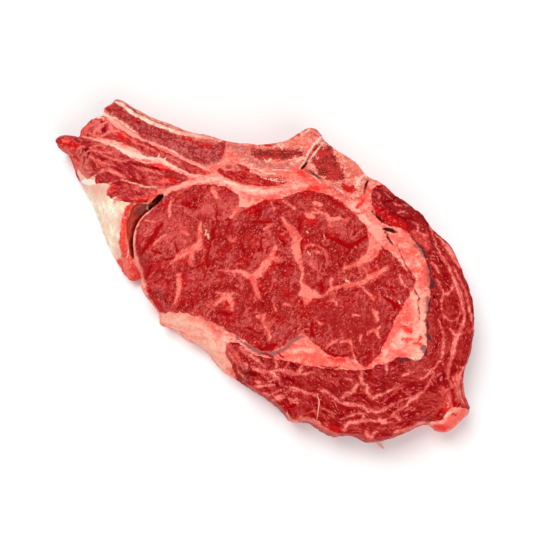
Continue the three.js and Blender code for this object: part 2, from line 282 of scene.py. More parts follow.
BONES = ("chine_bone", "feather_bone", "rib_bone")
LEAN = (
    "eye_muscle", "cap_muscle", "flank_meat", "rib_meat", "lower_flank_meat", "seam_meat",
)

# Veins of fat in the eye.
EYE_VEINS: tuple[Stroke, ...] = (
    ((-22, -5, 0.6), (-15, -5.5, 1), (-9, -6.5, 1.8), (-4.5, -9, 3.2), (0, -6.5, 3.8), (3.5, -1, 3.5),
     (6.5, 3, 2.7), (8, 8, 1.4)), ((6, 2, 2.2), (8.5, 1, 2.7), (11.5, 0, 1.6)),
    ((-4, -9, 2.7), (-2.5, -13.5, 2.2), (-1.5, -17, 1.6), (-0.5, -20, 0.8)),
    ((12, 24, 1.1), (14.5, 20, 2.2), (17.5, 17, 3.8), (19.5, 13, 5.1), (19, 7.5, 4.6), (20.5, 1, 3.5),
     (22.5, -5.5, 1.6), (22, -12, 1.6), (24, -15.5, 3.8), (25.5, -18, 5.4), (24.5, -23, 1.6)),
    ((21, -18.5, 1.6), (25.5, -17, 4.9), (30.5, -19, 2.7), (34, -19, 1.1), (37, -16, 1.1),
     (38.5, -10, 0.8)),
    ((-32, 21, 1.4), (-32.5, 16, 1.9), (-32.5, 11, 2.2), (-33, 8, 3.8), (-36.5, 6.5, 3.8), (-41, 4, 3.2),
     (-44.5, 1.5, 2.2), (-47.5, -1, 1.1)), ((-36.5, 6, 2.7), (-37, -1.5, 1.6)),
    ((-43.5, -7.5, 2.2), (-43, -13.5, 2.4), (-43.5, -18, 1.6), (-45.5, -23, 1.1)),
    ((-23.5, -23.5, 1.4), (-21, -21.5, 2.2), (-17.5, -19, 2.7), (-15, -22.5, 2.2), (-14, -26.5, 1.1)),
    ((-23, -17, 0.8), (-17.5, -19, 1.6), (-14, -18, 0.8)),
    ((-1.5, -30, 1.1), (2, -29.5, 1.6), (1.5, -32.5, 1.4), (4.5, -38, 1.1), (5.5, -40.5, 1.6),
     (4.5, -42.5, 1.1)),
    ((26.5, 26.5, 1.1), (34.5, 26.5, 1.4), (37.5, 23, 1.6), (42, 23.5, 1.4), (47, 22.5, 1.4)),
    ((38, 22.5, 1.1), (37.5, 19.5, 0.8)), ((6, 32.5, 0.5), (7.5, 28.5, 0.8)),
    ((14.5, 32, 0.5), (18.5, 29.5, 1.1)), ((2, 17.5, 0.5), (4.5, 19.5, 0.8), (9, 21, 0.8)),
    ((62.5, 16.5, 8.1), (62, 9, 7), (59, 3, 4.9), (55, 0, 3.2), (49.5, -2.5, 2.2), (45.5, -4, 1.1)),
    ((67.5, -3.5, 1.6), (63, -7, 2.4), (58.5, -9, 3), (55.5, -11, 2.2), (52, -12, 2.2), (48, -13, 3.2),
     (44.5, -13.5, 1.6), (37, -15.5, 1.1)), ((55, -3, 0.8), (56.5, -4.5, 1.1), (57.5, -8, 1.1)),
    ((53, -12.5, 1.1), (55.5, -15.5, 1.1), (60.5, -20.5, 1.6)),
    ((74.5, -7, 0.8), (76, -12, 1.1), (80, -15, 0.8)), ((61.5, -28, 1.9), (61.5, -31.5, 1.6)),
    ((7.5, -23.5, 0.5), (8.5, -27, 1.1)), ((13, -23.5, 1.1), (15.5, -24, 1.4)),
    ((30, -32, 0.8), (32, -34, 1.1)),
    ((42.5, -43.5, 0.8), (47.5, -43, 1.1), (49, -49.5, 0.8), (51, -54.5, 1.1)),
    ((35, -46.5, 0.5), (37, -44.5, 1.1), (41, -42, 0.8)),
    ((57, -38, 1.1), (61, -37.5, 1.4), (62.5, -41, 0.8)), ((61, -37.5, 0.8), (63, -35.5, 0.8)),
    ((53, -39.5, 0.8), (52.5, -42.5, 0.8)), ((38, -9.5, 0.8), (37, -12.5, 0.5)),
    ((-17, 12.5, 0.5), (-14.5, 11, 1.1), (-13, 13, 0.5)), ((-48.5, 35, 1.1), (-49, 25, 1.1)),
    ((-26, 40.5, 2.7), (-23.5, 35.5, 2.2)), ((49, -29.5, 0.8), (52, -29.5, 0.8)),
    ((36, -22, 0.5), (39.5, -21.5, 0.8), (40.5, -23.5, 0.5)), ((42.5, -37.5, 0.5), (43.5, -41, 0.5)),
    ((66.5, -53, 2.2), (66, -58, 1.1)), ((12.5, 33.5, 0.7), (15.5, 31.5, 0.8), (18, 30, 0.7)),
    ((6, 32.5, 0.7), (7, 29.5, 0.6)),
    ((29.5, 29.5, 0.8), (33, 27, 1), (35.5, 26, 1.1), (38, 24, 1.1), (42.5, 24, 1), (46.5, 22.5, 0.8)),
    ((24.5, 26.5, 1.4), (26.5, 25.5, 2.3), (29, 24.5, 1.7)), ((29.5, 32.5, 1.7), (33, 31.5, 1.9)),
    ((-53, 36.5, 2.2), (-48.5, 40.5, 2.8), (-43.5, 41.5, 2.8), (-38.5, 42.5, 2.2)),
    ((-60.5, 28, 1.2), (-65.5, 23, 1.2), (-67.5, 18.5, 1.4), (-68.5, 12, 1.6), (-68.5, 7.5, 1.7),
     (-66.5, 0.5, 2), (-65, -4, 2.5), (-63.5, -9, 2.8), (-62, -13, 2.8)),
    ((-57, 9, 1), (-54.5, 11.5, 1.2), (-51, 14, 0.7)), ((-62, 23, 0.6), (-59, 22, 0.8), (-56, 22, 0.7)),
    ((-42, 16, 1), (-40, 15, 1.1), (-38.5, 13.5, 0.7)), ((-42.5, 11.5, 0.8), (-40, 10, 1)),
    ((23.5, 5.5, 0.5), (25, 8, 0.6), (28, 9, 0.6), (32, 8, 0.6), (35, 5.5, 0.5), (36, 1.5, 0.4)),
    ((26, 4.5, 0.4), (29, 5.5, 0.6), (32.5, 4, 0.4)), ((27.5, 0, 0.4), (28.5, -3.5, 0.5)),
    ((45, -1, 0.8), (45.5, -3.5, 1.2), (45, -6.5, 0.7)), ((38, -11, 0.6), (37.5, -14, 0.6)),
    ((24.5, -14.5, 0.8), (21.5, -13, 0.6)), ((60, -27, 1.6), (61, -29.5, 1.7), (61.5, -32, 1.1)),
    ((-9.5, 33.5, 3.3), (-11, 31, 2.8), (-12.5, 29, 1.9), (-14.5, 26, 1.1), (-16, 24, 0.6)),
    ((-4, 34, 2.2), (-6, 31.5, 1.7), (-8.5, 29.5, 0.9)),
)

# Veins of fat in the cap.
CAP_VEINS: tuple[Stroke, ...] = (
    ((30.5, -68, 1.2), (37.5, -71, 1.2), (40, -74, 1.6), (45.5, -75.5, 1.6), (53, -77, 1.2),
     (56, -79, 1.3), (62.5, -79, 1.2), (68.5, -76, 1), (73, -74, 0.7), (79.5, -71.5, 0.7)),
    ((42.5, -72.5, 1.6), (44.5, -70.5, 1.7), (48, -69.5, 1.6), (49.5, -67, 1.2), (51, -65.5, 1)),
    ((53, -58.5, 1.6), (52.5, -61.5, 1.7), (53.5, -65, 1.6), (55.5, -66, 1.3), (56, -69.5, 1.6),
     (58.5, -72.5, 1.7), (62.5, -70.5, 1)), ((63, -71, 0.7), (67.5, -68.5, 0.7), (71.5, -67, 0.7)),
    ((49, -85, 1), (53, -82.5, 1.2), (53, -80.5, 1), (43.5, -82.5, 0.7)),
    ((32, -77.5, 0.4), (39, -80.5, 0.7)), ((68.5, -80.5, 0.4), (72, -83.5, 0.7)),
    ((21, -60, 1), (28.5, -59.5, 1)), ((44.5, -62, 0.4), (49, -63.5, 0.7)),
    ((21, -82.5, 1.6), (28, -84, 1.7), (34, -88.5, 1.2), (41.5, -91.5, 1)),
    ((-9.5, -46, 1.2), (-6, -50, 1.2), (0, -54, 1.2)),
    ((-3.5, -57.5, 1.2), (2, -58.5, 1.6), (7.5, -61, 1.6), (10, -62.5, 1)),
    ((6, -59, 1.2), (11.5, -58.5, 1.2), (19.5, -60.5, 1.2), (22, -57.5, 1)),
    ((-8, -54.5, 2.2), (-7, -56, 2.2)), ((8, -72.5, 1.6), (12, -71.5, 1.9)),
    ((14, -66.5, 0.7), (19, -67.5, 1), (23.5, -69.5, 1), (30, -71, 1)),
    ((-2.5, -66.5, 1), (1.5, -66.5, 1.2)), ((-1.5, -64, 1), (0, -64.5, 1)),
    ((54.5, -90, 1.9), (57, -92, 2.6), (59.5, -90, 1.9)),
    ((86.5, -58, 0.7), (90.5, -59.5, 1), (91.5, -62, 0.4)), ((74.5, -61, 0.4), (79, -59, 0.7)),
    ((1, -69.5, 0.4), (5.5, -71, 0.7)), ((16, -74, 0.4), (19.5, -75, 1)),
    ((34.5, -63, 0.4), (41, -65.5, 0.4)), ((85, 17, 0.7), (87, 15, 0.8), (90.5, 14.5, 0.6)),
    ((95, 15, 0.8), (97.5, 12, 1.2), (100.5, 8.5, 1.6), (102.5, 5.5, 2.3), (105.5, 0, 2.6),
     (107, -3, 1.8)),
    ((92, 21.5, 0.6), (93, 17, 0.6), (94.5, 10, 0.7), (97.5, 2, 1.1), (101, -2.5, 1.2), (102, -7, 1.4),
     (103.5, -10, 1.6), (105.5, -15, 2.3), (107, -20, 2.3), (107.5, -25, 1.8), (108, -30, 1.6),
     (106.5, -35, 1.6), (104, -39.5, 2), (102.5, -43, 2.3), (100.5, -50, 2), (99.5, -53.5, 1.4),
     (98, -60, 1.1), (98.5, -63, 1.1), (99.5, -65, 1.1), (100, -67, 0.8)),
    ((104.5, -5, 0.8), (106.5, -10, 1), (109, -15, 1.1), (110.5, -20, 1.1), (111, -25, 1.1), (112, -31, 1),
     (113.5, -36.5, 0.8)), ((102.5, -13.5, 0.8), (101.5, -15.5, 1.1), (99, -18, 1.1), (97, -18.5, 0.8)),
    ((92, -1, 1.1), (94, -3.5, 1.4), (95.5, -6.5, 1.2)),
    ((94, -10, 0.6), (97, -17, 0.7), (96, -22.5, 0.6), (96.5, -29, 0.7), (97, -31, 0.6)),
    ((94.5, -32.5, 0.6), (96.5, -39.5, 0.8), (96.5, -42.5, 0.8), (95.5, -49.5, 0.8), (95, -52.5, 0.8),
     (93.5, -54, 0.7), (92, -56, 0.7), (90.5, -57.5, 0.7), (88, -58, 0.6)),
    ((89, -59, 0.8), (87, -61, 1.1), (84, -62.5, 1.1)),
    ((96.5, -29, 0.6), (98.5, -31, 0.6), (101.5, -32, 0.6), (104, -31.5, 0.6), (106, -27.5, 0.6)),
    ((100, -36.5, 0.8), (102, -39, 1.1), (106, -39, 0.8)),
    ((91, -60.5, 0.8), (89, -63, 1), (85.5, -68.5, 1.2), (82, -70.5, 1.4), (80, -72.5, 1.4),
     (77.5, -74, 1.4), (75, -77, 1.3), (72, -78.5, 1.2), (69.5, -80, 1.2), (67.5, -82, 1.2),
     (64.5, -83.5, 1.2), (62.5, -84, 1.1), (58, -84, 1), (50.5, -84.5, 1), (46, -85, 1.2),
     (43.5, -88.5, 1.4)),
    ((78, -72, 0.6), (72.5, -74, 0.6), (70, -75.5, 0.6), (65.5, -77, 0.7), (62.5, -78.5, 0.6)),
    ((77.5, -77, 0.6), (80.5, -78.5, 0.6)), ((70, -81, 0.6), (72, -82.5, 0.7), (72.5, -83.5, 0.4)),
    ((63, -85, 1.2), (67, -85, 1.2)), ((69, -57.5, 0.4), (72, -55.5, 0.6)),
    ((92.5, -61, 0.8), (94, -60, 0.7)), ((96, -69.5, 0.7), (97.5, -68, 1), (99, -67, 0.8)),
    ((98, -71, 1.1), (98, -74, 1.4), (97.5, -77, 1.2)),
    ((107.5, -55.5, 1.1), (105.5, -58.5, 1.2), (104.5, -61.5, 1.4), (103.5, -64, 1.2), (104, -67, 1.1)),
    ((102.5, -56.5, 0.6), (104.5, -56, 0.6), (105, -56.5, 0.6)),
    ((64.5, -52, 1.4), (66.5, -53, 1.1), (66.5, -57.5, 0.6)), ((77, -58, 1), (77.5, -58, 1)),
    ((71, -87, 1), (71.5, -87, 1)),
    ((69.5, -90, 1.2), (72.5, -89, 1.4), (78.5, -87.5, 1.4), (84.5, -85, 1.4), (87.5, -85, 1.2)),
    ((67.5, 40.5, 0.4), (69.5, 37, 0.6), (72, 35, 0.4)),
    ((63, 38.5, 0.4), (65.5, 36.5, 0.5), (64.5, 34.5, 0.4)),
    ((72.5, 33, 0.4), (75.5, 31, 0.6), (79, 31.5, 0.4)),
    ((74.5, 27, 0.4), (77.5, 27.5, 0.6), (81, 26.5, 0.4)),
    ((82.5, 22, 0.4), (85, 20, 0.6), (85.5, 17, 0.4)),
    ((-10.5, -46.5, 1), (-7.5, -49, 1), (-2.5, -51.5, 1), (0, -54, 0.8), (3, -56.5, 0.7)),
    ((-7.5, -47, 0.6), (-4, -50, 0.7), (-1.5, -52.5, 0.6)),
    ((-4.5, -56, 0.8), (-1.5, -57, 1.1), (3.5, -59, 1.2), (7, -61, 1.1), (10.5, -62.5, 1.1)),
    ((8.5, -58, 1.1), (12, -58, 1.4), (16, -59, 1.6), (19.5, -60, 1.2)),
    ((19.5, -59.5, 0.8), (21, -57, 1), (22.5, -55.5, 0.8)),
    ((8, -51.5, 1), (8.5, -54, 1.1), (8.5, -56.5, 1.1)), ((15, -54, 0.7), (14, -56, 1), (13, -58.5, 1)),
    ((-12.5, -56, 0.6), (-10.5, -59, 0.7), (-7.5, -62.5, 0.7)), ((-10.5, -54, 0.6), (-9, -57, 0.7)),
    ((-2, -66, 0.7), (1, -66.5, 0.8), (4.5, -66, 0.6), (7.5, -65.5, 0.6)),
    ((4.5, -71, 0.6), (8, -69.5, 0.8), (11.5, -68, 0.7)),
    ((10, -64.5, 0.6), (13.5, -66.5, 0.7), (17.5, -67, 0.6)),
    ((13, -69.5, 0.6), (16.5, -68.5, 0.8), (19.5, -69, 0.6)),
    ((6.5, -73.5, 0.7), (10, -73, 1), (12, -71, 1.1)),
    ((14.5, -72.5, 0.6), (18, -73.5, 0.8), (21, -73.5, 0.6)),
    ((4.5, -64, 0.5), (8, -63, 0.6), (11, -63.5, 0.5)), ((1, -60.5, 0.5), (4.5, -62, 0.6)),
    ((103, -60.5, 1), (103.5, -65, 1.1), (104.5, -69.5, 1.2), (105.5, -74.5, 1.1)),
    ((101, -62, 0.6), (101.5, -67, 0.7), (102, -73, 0.7)),
    ((66, -54.5, 1.4), (66.5, -57, 1.1), (66, -60, 0.6)),
    ((-18, -44, 0.6), (-15, -46.5, 0.7), (-11.5, -51, 0.6)),
    ((-17, -48.5, 0.5), (-14, -52, 0.7), (-11.5, -55, 0.5)),
    ((102, -65, 0.7), (103, -69, 0.9), (103.5, -73.5, 0.9)),
    ((105.5, -62.5, 0.8), (107, -66.5, 1.1), (107.5, -71.5, 0.9)),
)

# Veins of fat in the flank and the rib meat.
FLANK_VEINS: tuple[Stroke, ...] = (
    ((-80.5, 57, 0.6), (-76.5, 56, 1), (-72, 56.5, 0.6)),
    ((-92.5, 73, 1.6), (-89, 76.5, 2.2), (-85.5, 79.5, 1.6), (-82, 81.5, 1.1)),
    ((-88, 71, 1.1), (-83, 73.5, 1.4), (-78.5, 74, 1.1)),
    ((-80, 33.5, 1.1), (-78.5, 35, 1.6), (-76.5, 34, 1.1)),
    ((-66.5, 52, 0.8), (-60, 50.5, 1.1), (-53.5, 48.5, 0.8)), ((-98.5, 57.5, 0.6), (-94.5, 59, 0.6)),
    ((-74, 70.5, 0.6), (-66, 66, 0.9), (-58, 62.5, 0.6)), ((-51, 59, 0.6), (-44.5, 55.5, 0.9)),
    ((-50.5, 75, 1.7), (-45, 73.5, 2.2), (-39.5, 72.5, 2.5), (-33.5, 71.5, 2.5), (-27, 70, 1.9),
     (-21.5, 68.5, 1.3)),
    ((-82.5, 81.5, 2.2), (-78, 78.5, 3.6), (-73, 74.5, 4.2), (-69, 71.5, 3.1), (-66, 69.5, 1.7)),
    ((-66.5, 69.5, 1.2), (-62.5, 68, 1), (-58.5, 66.5, 1), (-53, 64.5, 1.1), (-49, 62.5, 1.1),
     (-44.5, 59.5, 1), (-39, 56.5, 1.2), (-34.5, 54.5, 2.2), (-30.5, 52.5, 1.7), (-28, 50.5, 0.8)),
    ((-94.5, 79, 0.6), (-91, 76, 0.8), (-87.5, 73, 0.6)), ((-93.5, 81.5, 0.6), (-90, 79, 0.7)),
    ((-97.5, 74.5, 0.5), (-93, 72, 0.8), (-89, 70, 0.7)),
    ((-84.5, 80.5, 0.9), (-83, 77, 1.6), (-81.5, 73, 1.1)), ((-82, 80, 0.6), (-79.5, 76.5, 0.7)),
    ((-92, 82.5, 1.1), (-89, 82, 1.4), (-85, 81, 1.1)), ((-100.5, 73, 0.7), (-96, 70.5, 0.7)),
    ((-77.5, 73, 0.4), (-72.5, 69.5, 0.6), (-68, 66, 0.4)),
    ((-104.5, 59.5, 0.5), (-103.5, 56, 0.7), (-100.5, 52.5, 0.8), (-96.5, 50.5, 0.7)),
    ((-102.5, 62.5, 0.5), (-101.5, 57.5, 0.7), (-99.5, 54, 0.8), (-95.5, 52, 0.6)),
    ((-100.5, 59.5, 0.4), (-99, 56.5, 0.7), (-96, 54, 0.6)), ((-98.5, 57.5, 0.8), (-96, 59, 0.7)),
    ((-97.5, 55.5, 0.7), (-94.5, 54, 0.6)), ((-102, 62.5, 0.6), (-99.5, 63.5, 0.6)),
    ((-97, 60.5, 0.5), (-98, 63, 0.5)), ((-94.5, 57.5, 0.5), (-93.5, 60.5, 0.5)),
    ((-105, 56, 0.7), (-102, 51, 0.9), (-97.5, 49, 0.9)),
    ((-73, 14, 0.6), (-72.5, 10.5, 0.8), (-71.5, 6.5, 0.8), (-70, 3, 0.7), (-68, 0, 0.8),
     (-66.5, -4, 0.8)), ((-71.5, 7, 0.6), (-72, 4, 0.7), (-71, 1.5, 0.6)),
    ((-106.5, 60.5, 0.4), (-103, 55.5, 0.5), (-99.5, 50, 0.6), (-94.5, 49.5, 0.5)),
    ((-101, 60, 0.4), (-95, 62.5, 0.5), (-89, 61.5, 0.5), (-83.5, 60.5, 0.3)),
    ((-97.5, 56, 0.4), (-93.5, 60, 0.5)), ((-103.5, 58, 0.4), (-98.5, 53.5, 0.6), (-94, 52, 0.4)),
    ((-88, 60, 0.3), (-80.5, 57, 0.4), (-74, 55.5, 0.3)),
    ((-109, 66, 0.6), (-107, 64, 0.8), (-106, 61.5, 0.7)),
    ((-103.5, 63.5, 0.6), (-101, 65, 0.7), (-97, 65, 0.6)),
    ((-94.5, 63.5, 0.4), (-91, 65, 0.6), (-86, 64.5, 0.5)),
    ((-86, 63, 0.4), (-81, 60, 0.5), (-76, 57.5, 0.4)),
    ((-95.5, 60.5, 0.4), (-91.5, 57.5, 0.6), (-89.5, 54, 0.6)),
    ((-89.5, 57.5, 0.4), (-84.5, 54.5, 0.6), (-79, 53, 0.4)),
    ((-92, 50, 0.4), (-89, 51, 0.6), (-85.5, 51.5, 0.7), (-81, 50.5, 0.8), (-77, 48.5, 0.8),
     (-74.5, 47, 0.6)),
)

# Thin pale skins, ridges and threads, with painted highlights on the back bone, the eye and the corner fat.
PALE_AND_HIGHLIGHT: tuple[Stroke, ...] = (
    ((35, 72, 0.9), (30.5, 66.5, 1.2), (27, 61.5, 1.1), (24.5, 56.5, 0.9), (21.5, 52.5, 0.7)),
    ((36.5, 69, 0.6), (32.5, 64, 0.8), (29.5, 60, 0.8), (26.5, 55, 0.6)),
    ((59.5, 49.5, 1.4), (57, 48.5, 1.2), (54, 45, 1), (52, 41.5, 0.7)),
    ((-4.5, 53, 0.6), (2.5, 50, 0.7), (8, 49, 0.6)), ((-5.5, 51, 0.6), (0, 48.5, 0.4)),
    ((0.5, 47.5, 0.6), (4.5, 46, 0.7), (11, 44.5, 0.4)),
    ((6.5, 51.5, 0.7), (12.5, 51.5, 0.8), (17.5, 51, 0.6)),
    ((5.5, 46.5, 0.4), (11, 45.5, 0.6), (15.5, 45.5, 0.4)), ((-5, 39.5, 0.7), (2, 39, 0.7)),
    ((-19, 44.5, 1.7), (-16, 43.5, 1.9), (-13.5, 42.5, 1.7)), ((-72, 8, 0.6), (-73.5, 4.5, 0.4)),
    ((-74, 45, 0.6), (-71, 44, 0.7), (-67, 43, 0.7), (-63.5, 41.5, 0.7), (-60, 41.5, 0.7),
     (-56, 41.5, 0.6)), ((-80.5, 35.5, 1), (-78, 35.5, 1)), ((25, 73, 1), (27.5, 75, 1)),
    ((-82.5, 92.5, 1.5), (-79, 91, 2), (-74.5, 87.5, 2.1), (-70.5, 84.5, 2.2), (-66.5, 82.5, 2.4),
     (-62, 80, 2.4), (-57.5, 78, 2.1), (-53, 76.5, 2), (-49, 75, 1.2)),
    ((-89, 85.5, 1.5), (-85.5, 83.5, 1.8), (-81.5, 81.5, 1.5)), ((-29, 17, 0.8), (-29.5, 14, 0.9)),
    ((-28, 15, 1), (-27.5, 12, 1)), ((25.5, 5.5, 0.6), (27, 3.5, 0.9)), ((34.5, 15, 0.7), (35, 13, 0.7)),
    ((25.5, 16, 0.9), (26, 15.5, 0.9)), ((67.5, -18.5, 0.4), (70, -20.5, 0.4)),
    ((73.5, -21.5, 0.7), (74.5, -23, 0.6)), ((45.5, -10.5, 0.9), (47.5, -11.5, 0.9)),
    ((14, -80, 0.6), (15, -82.5, 1), (16.5, -84, 1.2), (19.5, -84.5, 0.8)),
    ((5.5, -59, 0.4), (8, -60.5, 0.6)), ((95.5, -82, 0.8), (97, -81, 1.1), (98.5, -79.5, 0.9)),
    ((100.5, -78.5, 0.6), (102, -78.5, 0.7)), ((91.5, -85, 0.6), (94.5, -84.5, 0.7)),
    ((-17, 46, 0.4), (-13.5, 43.5, 0.6), (-9.5, 42, 0.4)),
    ((-7.5, 40.5, 0.4), (-2.5, 39.5, 0.6), (3, 39.5, 0.4)), ((11.5, 44.5, 0.4), (16.5, 45.5, 0.4)),
    ((27.5, 48.5, 0.4), (31, 46.5, 0.6), (33.5, 43.5, 0.4)),
    ((40, 42.5, 0.4), (44, 39.5, 0.5), (46.5, 37, 0.4)),
    ((-83.5, 66.5, 0.7), (-77.5, 63.5, 1.4), (-74, 61.5, 2.5), (-70.5, 60, 3), (-66, 59, 2.6),
     (-61.5, 58, 1.8), (-58, 57.5, 1.7), (-55, 57, 1.9), (-51.5, 55.5, 1.8), (-49, 54, 1.2),
     (-45.5, 52.5, 0.7), (-39, 49, 0.5)), ((-56.5, 57.5, 0.8), (-55.5, 60, 0.4)),
    ((-53, 56, 1), (-52, 58.5, 0.6)),
    ((-104.5, 57, 0.9), (-102.5, 53.5, 1.9), (-100.5, 50.5, 3), (-97, 48.5, 3), (-93.5, 47.5, 1.7)),
    ((-93.5, 83, 0.7), (-90.5, 82.5, 1.4), (-87.5, 81.5, 0.9)),
)

# Broad pale places, with painted highlights on the kernel fat and the corner fat.
LARD_AND_HIGHLIGHT: tuple[Stroke, ...] = (
    ((66.5, -48, 1.6), (64.5, -51.5, 2.2)),
    ((-44.5, -32, 1.1), (-37.5, -33, 1.6), (-29.5, -36, 2.2), (-23.5, -40.5, 1.6)),
    ((-49, -35, 1.1), (-42.5, -38, 1.1), (-38, -41.5, 1.1)),
    ((-39, -41.5, 1.1), (-32.5, -43.5, 1.6), (-25.5, -49.5, 1.6), (-20, -56.5, 1.6), (-14.5, -62, 1.1)),
    ((-29.5, -30.5, 0.5), (-20, -36, 0.8)), ((-20, -49, 1.1), (-15.5, -55, 1.1)),
    ((-54.5, 36.5, 1.1), (-49.5, 40.5, 1.6), (-42.5, 43, 1.6), (-33, 44.5, 1.4), (-23.5, 46, 1.4),
     (-16, 43.5, 2.2), (-11, 41.5, 3.2), (-4.5, 39.5, 3.2), (1, 40.5, 1.6)),
    ((-13.5, 39, 2.7), (-10.5, 35, 2.7), (-12, 31.5, 1.6)),
    ((50.5, 31.5, 1.6), (55.5, 25.5, 2.7), (60, 20, 2.7)),
    ((13.5, -49, 0.8), (21, -47.5, 2.2), (27.5, -48, 2.2)),
    ((13.5, -80.5, 1.4), (18, -85, 2.4), (22, -84, 1.6)),
    ((-92, 68, 1.4), (-83.5, 66.5, 2), (-77.5, 63.5, 3.2), (-70.5, 60.5, 5), (-62, 59, 4),
     (-52.5, 55.5, 3.4), (-45.5, 52.5, 2)), ((76.5, -1.5, 1.9), (79.5, -1.5, 1.9)),
    ((82.5, -2.5, 2.2), (86, -2, 2.2)),
    ((71, -45, 3.3), (73, -43.5, 6.1), (75.5, -40, 4.5), (76, -36.5, 2.2)),
    ((96, -82.5, 1.4), (97, -81, 2), (98.5, -79.5, 1.4)),
    ((90, -85, 1.1), (92.5, -85.5, 1.4), (95.5, -84.5, 1)),
    ((68, 41.5, 1.4), (70.5, 40.5, 1.9), (72, 39, 1.1)),
    ((105, -65.5, 2.5), (106, -70.5, 3.3), (106, -75, 2.8)),
    ((-94.5, 80.5, 3.3), (-91, 77, 5), (-87.5, 73, 3.9)),
    ((-84.5, 80.5, 2.8), (-82.5, 76.5, 3.9), (-81.5, 72, 2.8)),
    ((-104, 58, 2.8), (-101, 53.5, 4.5), (-96.5, 51, 3.3)),
    ((-63, 15.5, 3.6), (-60.5, 17, 5), (-58, 17.5, 3.3)),
    ((-49.5, 8.5, 2.2), (-47, 7.5, 3.3), (-45.5, 6.5, 2.2)),
    ((-40.5, 28.5, 2.2), (-37.5, 26.5, 3.1), (-33.5, 26.5, 2.2)),
    ((-31.5, 27.5, 3.3), (-28, 29.5, 4.5), (-26, 25.5, 3.3)), ((-54.5, 10.5, 1.9), (-50.5, 13, 1.9)),
    ((39, 21, 3.3), (44, 20, 4.5)), ((40.5, 17, 2.8), (45.5, 16.5, 3.9)),
    ((-58, -14, 2.2), (-55, -13.5, 2.2)), ((-22.5, 31, 2.2), (-17.5, 31, 2.8)),
    ((-20.5, 26.5, 1.9), (-18, 22, 1.7)), ((21.5, 32.5, 2.5), (23.5, 30.5, 2.5)),
    ((25, 3, 3.3), (28.5, 0, 5), (30, -3.5, 3.9)), ((4.5, 16.5, 2.2), (6.5, 12, 2.8)),
    ((-21, 45.5, 1.7), (-15.5, 42.5, 2.2), (-10, 40.5, 2.8), (-3, 39, 2.8), (4.5, 39, 2.8),
     (12, 40.5, 2.5), (19, 42, 2.2), (25.5, 43, 1.7)),
    ((95.5, -69, 2.8), (98, -71.5, 3.3), (100.5, -73.5, 2.8)),
    ((94.5, -68.5, 3.9), (97.5, -71, 5), (100.5, -73.5, 4.5), (103, -75, 3.3)),
    ((103, -66, 2.2), (104, -70.5, 2.8), (105, -74, 2.2)),
    ((-110, 66, 2.2), (-107.5, 63, 3.9), (-105.5, 59.5, 4.5), (-103, 55.5, 3.9)),
    ((-19, -43.5, 4.5), (-16.5, -46.5, 5), (-13.5, -50.5, 4.5), (-11, -54, 3.3)),
    ((102.5, -61.5, 3.9), (104.5, -65.5, 5), (106, -69.5, 5), (106.5, -74, 3.9)),
    ((97, -75, 3.3), (100.5, -76, 4.5), (103.5, -76, 3.3)),
    ((-81, 94.5, 2.2), (-74.5, 91.5, 2.6), (-69, 87.5, 2.8), (-63, 84, 2.8), (-57.5, 81.5, 2.8),
     (-51.5, 79, 2.8), (-45, 76, 2.8), (-38, 73.5, 2.5)), ((-9, 33, 5), (-12, 29.5, 5), (-16, 25.5, 3.9)),
    ((84, 16.5, 3.3), (87, 12.5, 5), (90, 8, 3.9)),
)

# Clefts, splits and small holes, painted near black as the shadow inside them.
SHADOWED_CRACKS: tuple[Stroke, ...] = (
    ((66.5, 18, 0.8), (68.5, 18, 1.7), (71, 17.5, 1.8), (74, 16.5, 0.6)),
    ((67.5, 16.5, 0.7), (69, 15, 0.9)), ((69, 14, 1.1), (70, 12, 0.9), (71.5, 9.5, 0.6)),
    ((26, 56, 0.8), (24.5, 54, 1.6), (23, 52, 1)),
    ((59.5, 46, 0.8), (58.5, 44, 1.4), (58, 42, 1.1), (57, 39.5, 0.8), (57, 38, 0.6)),
    ((61, 28, 0.7), (63.5, 25, 0.8), (66, 22, 0.7)), ((92, -19, 1), (92.5, -20, 1)),
    ((70, 39, 0.4), (71, 36.5, 0.6), (73, 35, 0.3)), ((67.5, 31, 0.3), (70.5, 29, 0.5), (74.5, 26, 0.3)),
    ((75.5, 34.5, 0.3), (78, 31, 0.5), (81, 29.5, 0.3)),
    ((-60, 31, 2.5), (-57, 33.5, 3.1), (-54, 36.5, 2.8)),
    ((35, 69.5, 0.2), (31, 64, 0.3), (27, 59, 0.3), (25, 56, 0.4)),
)
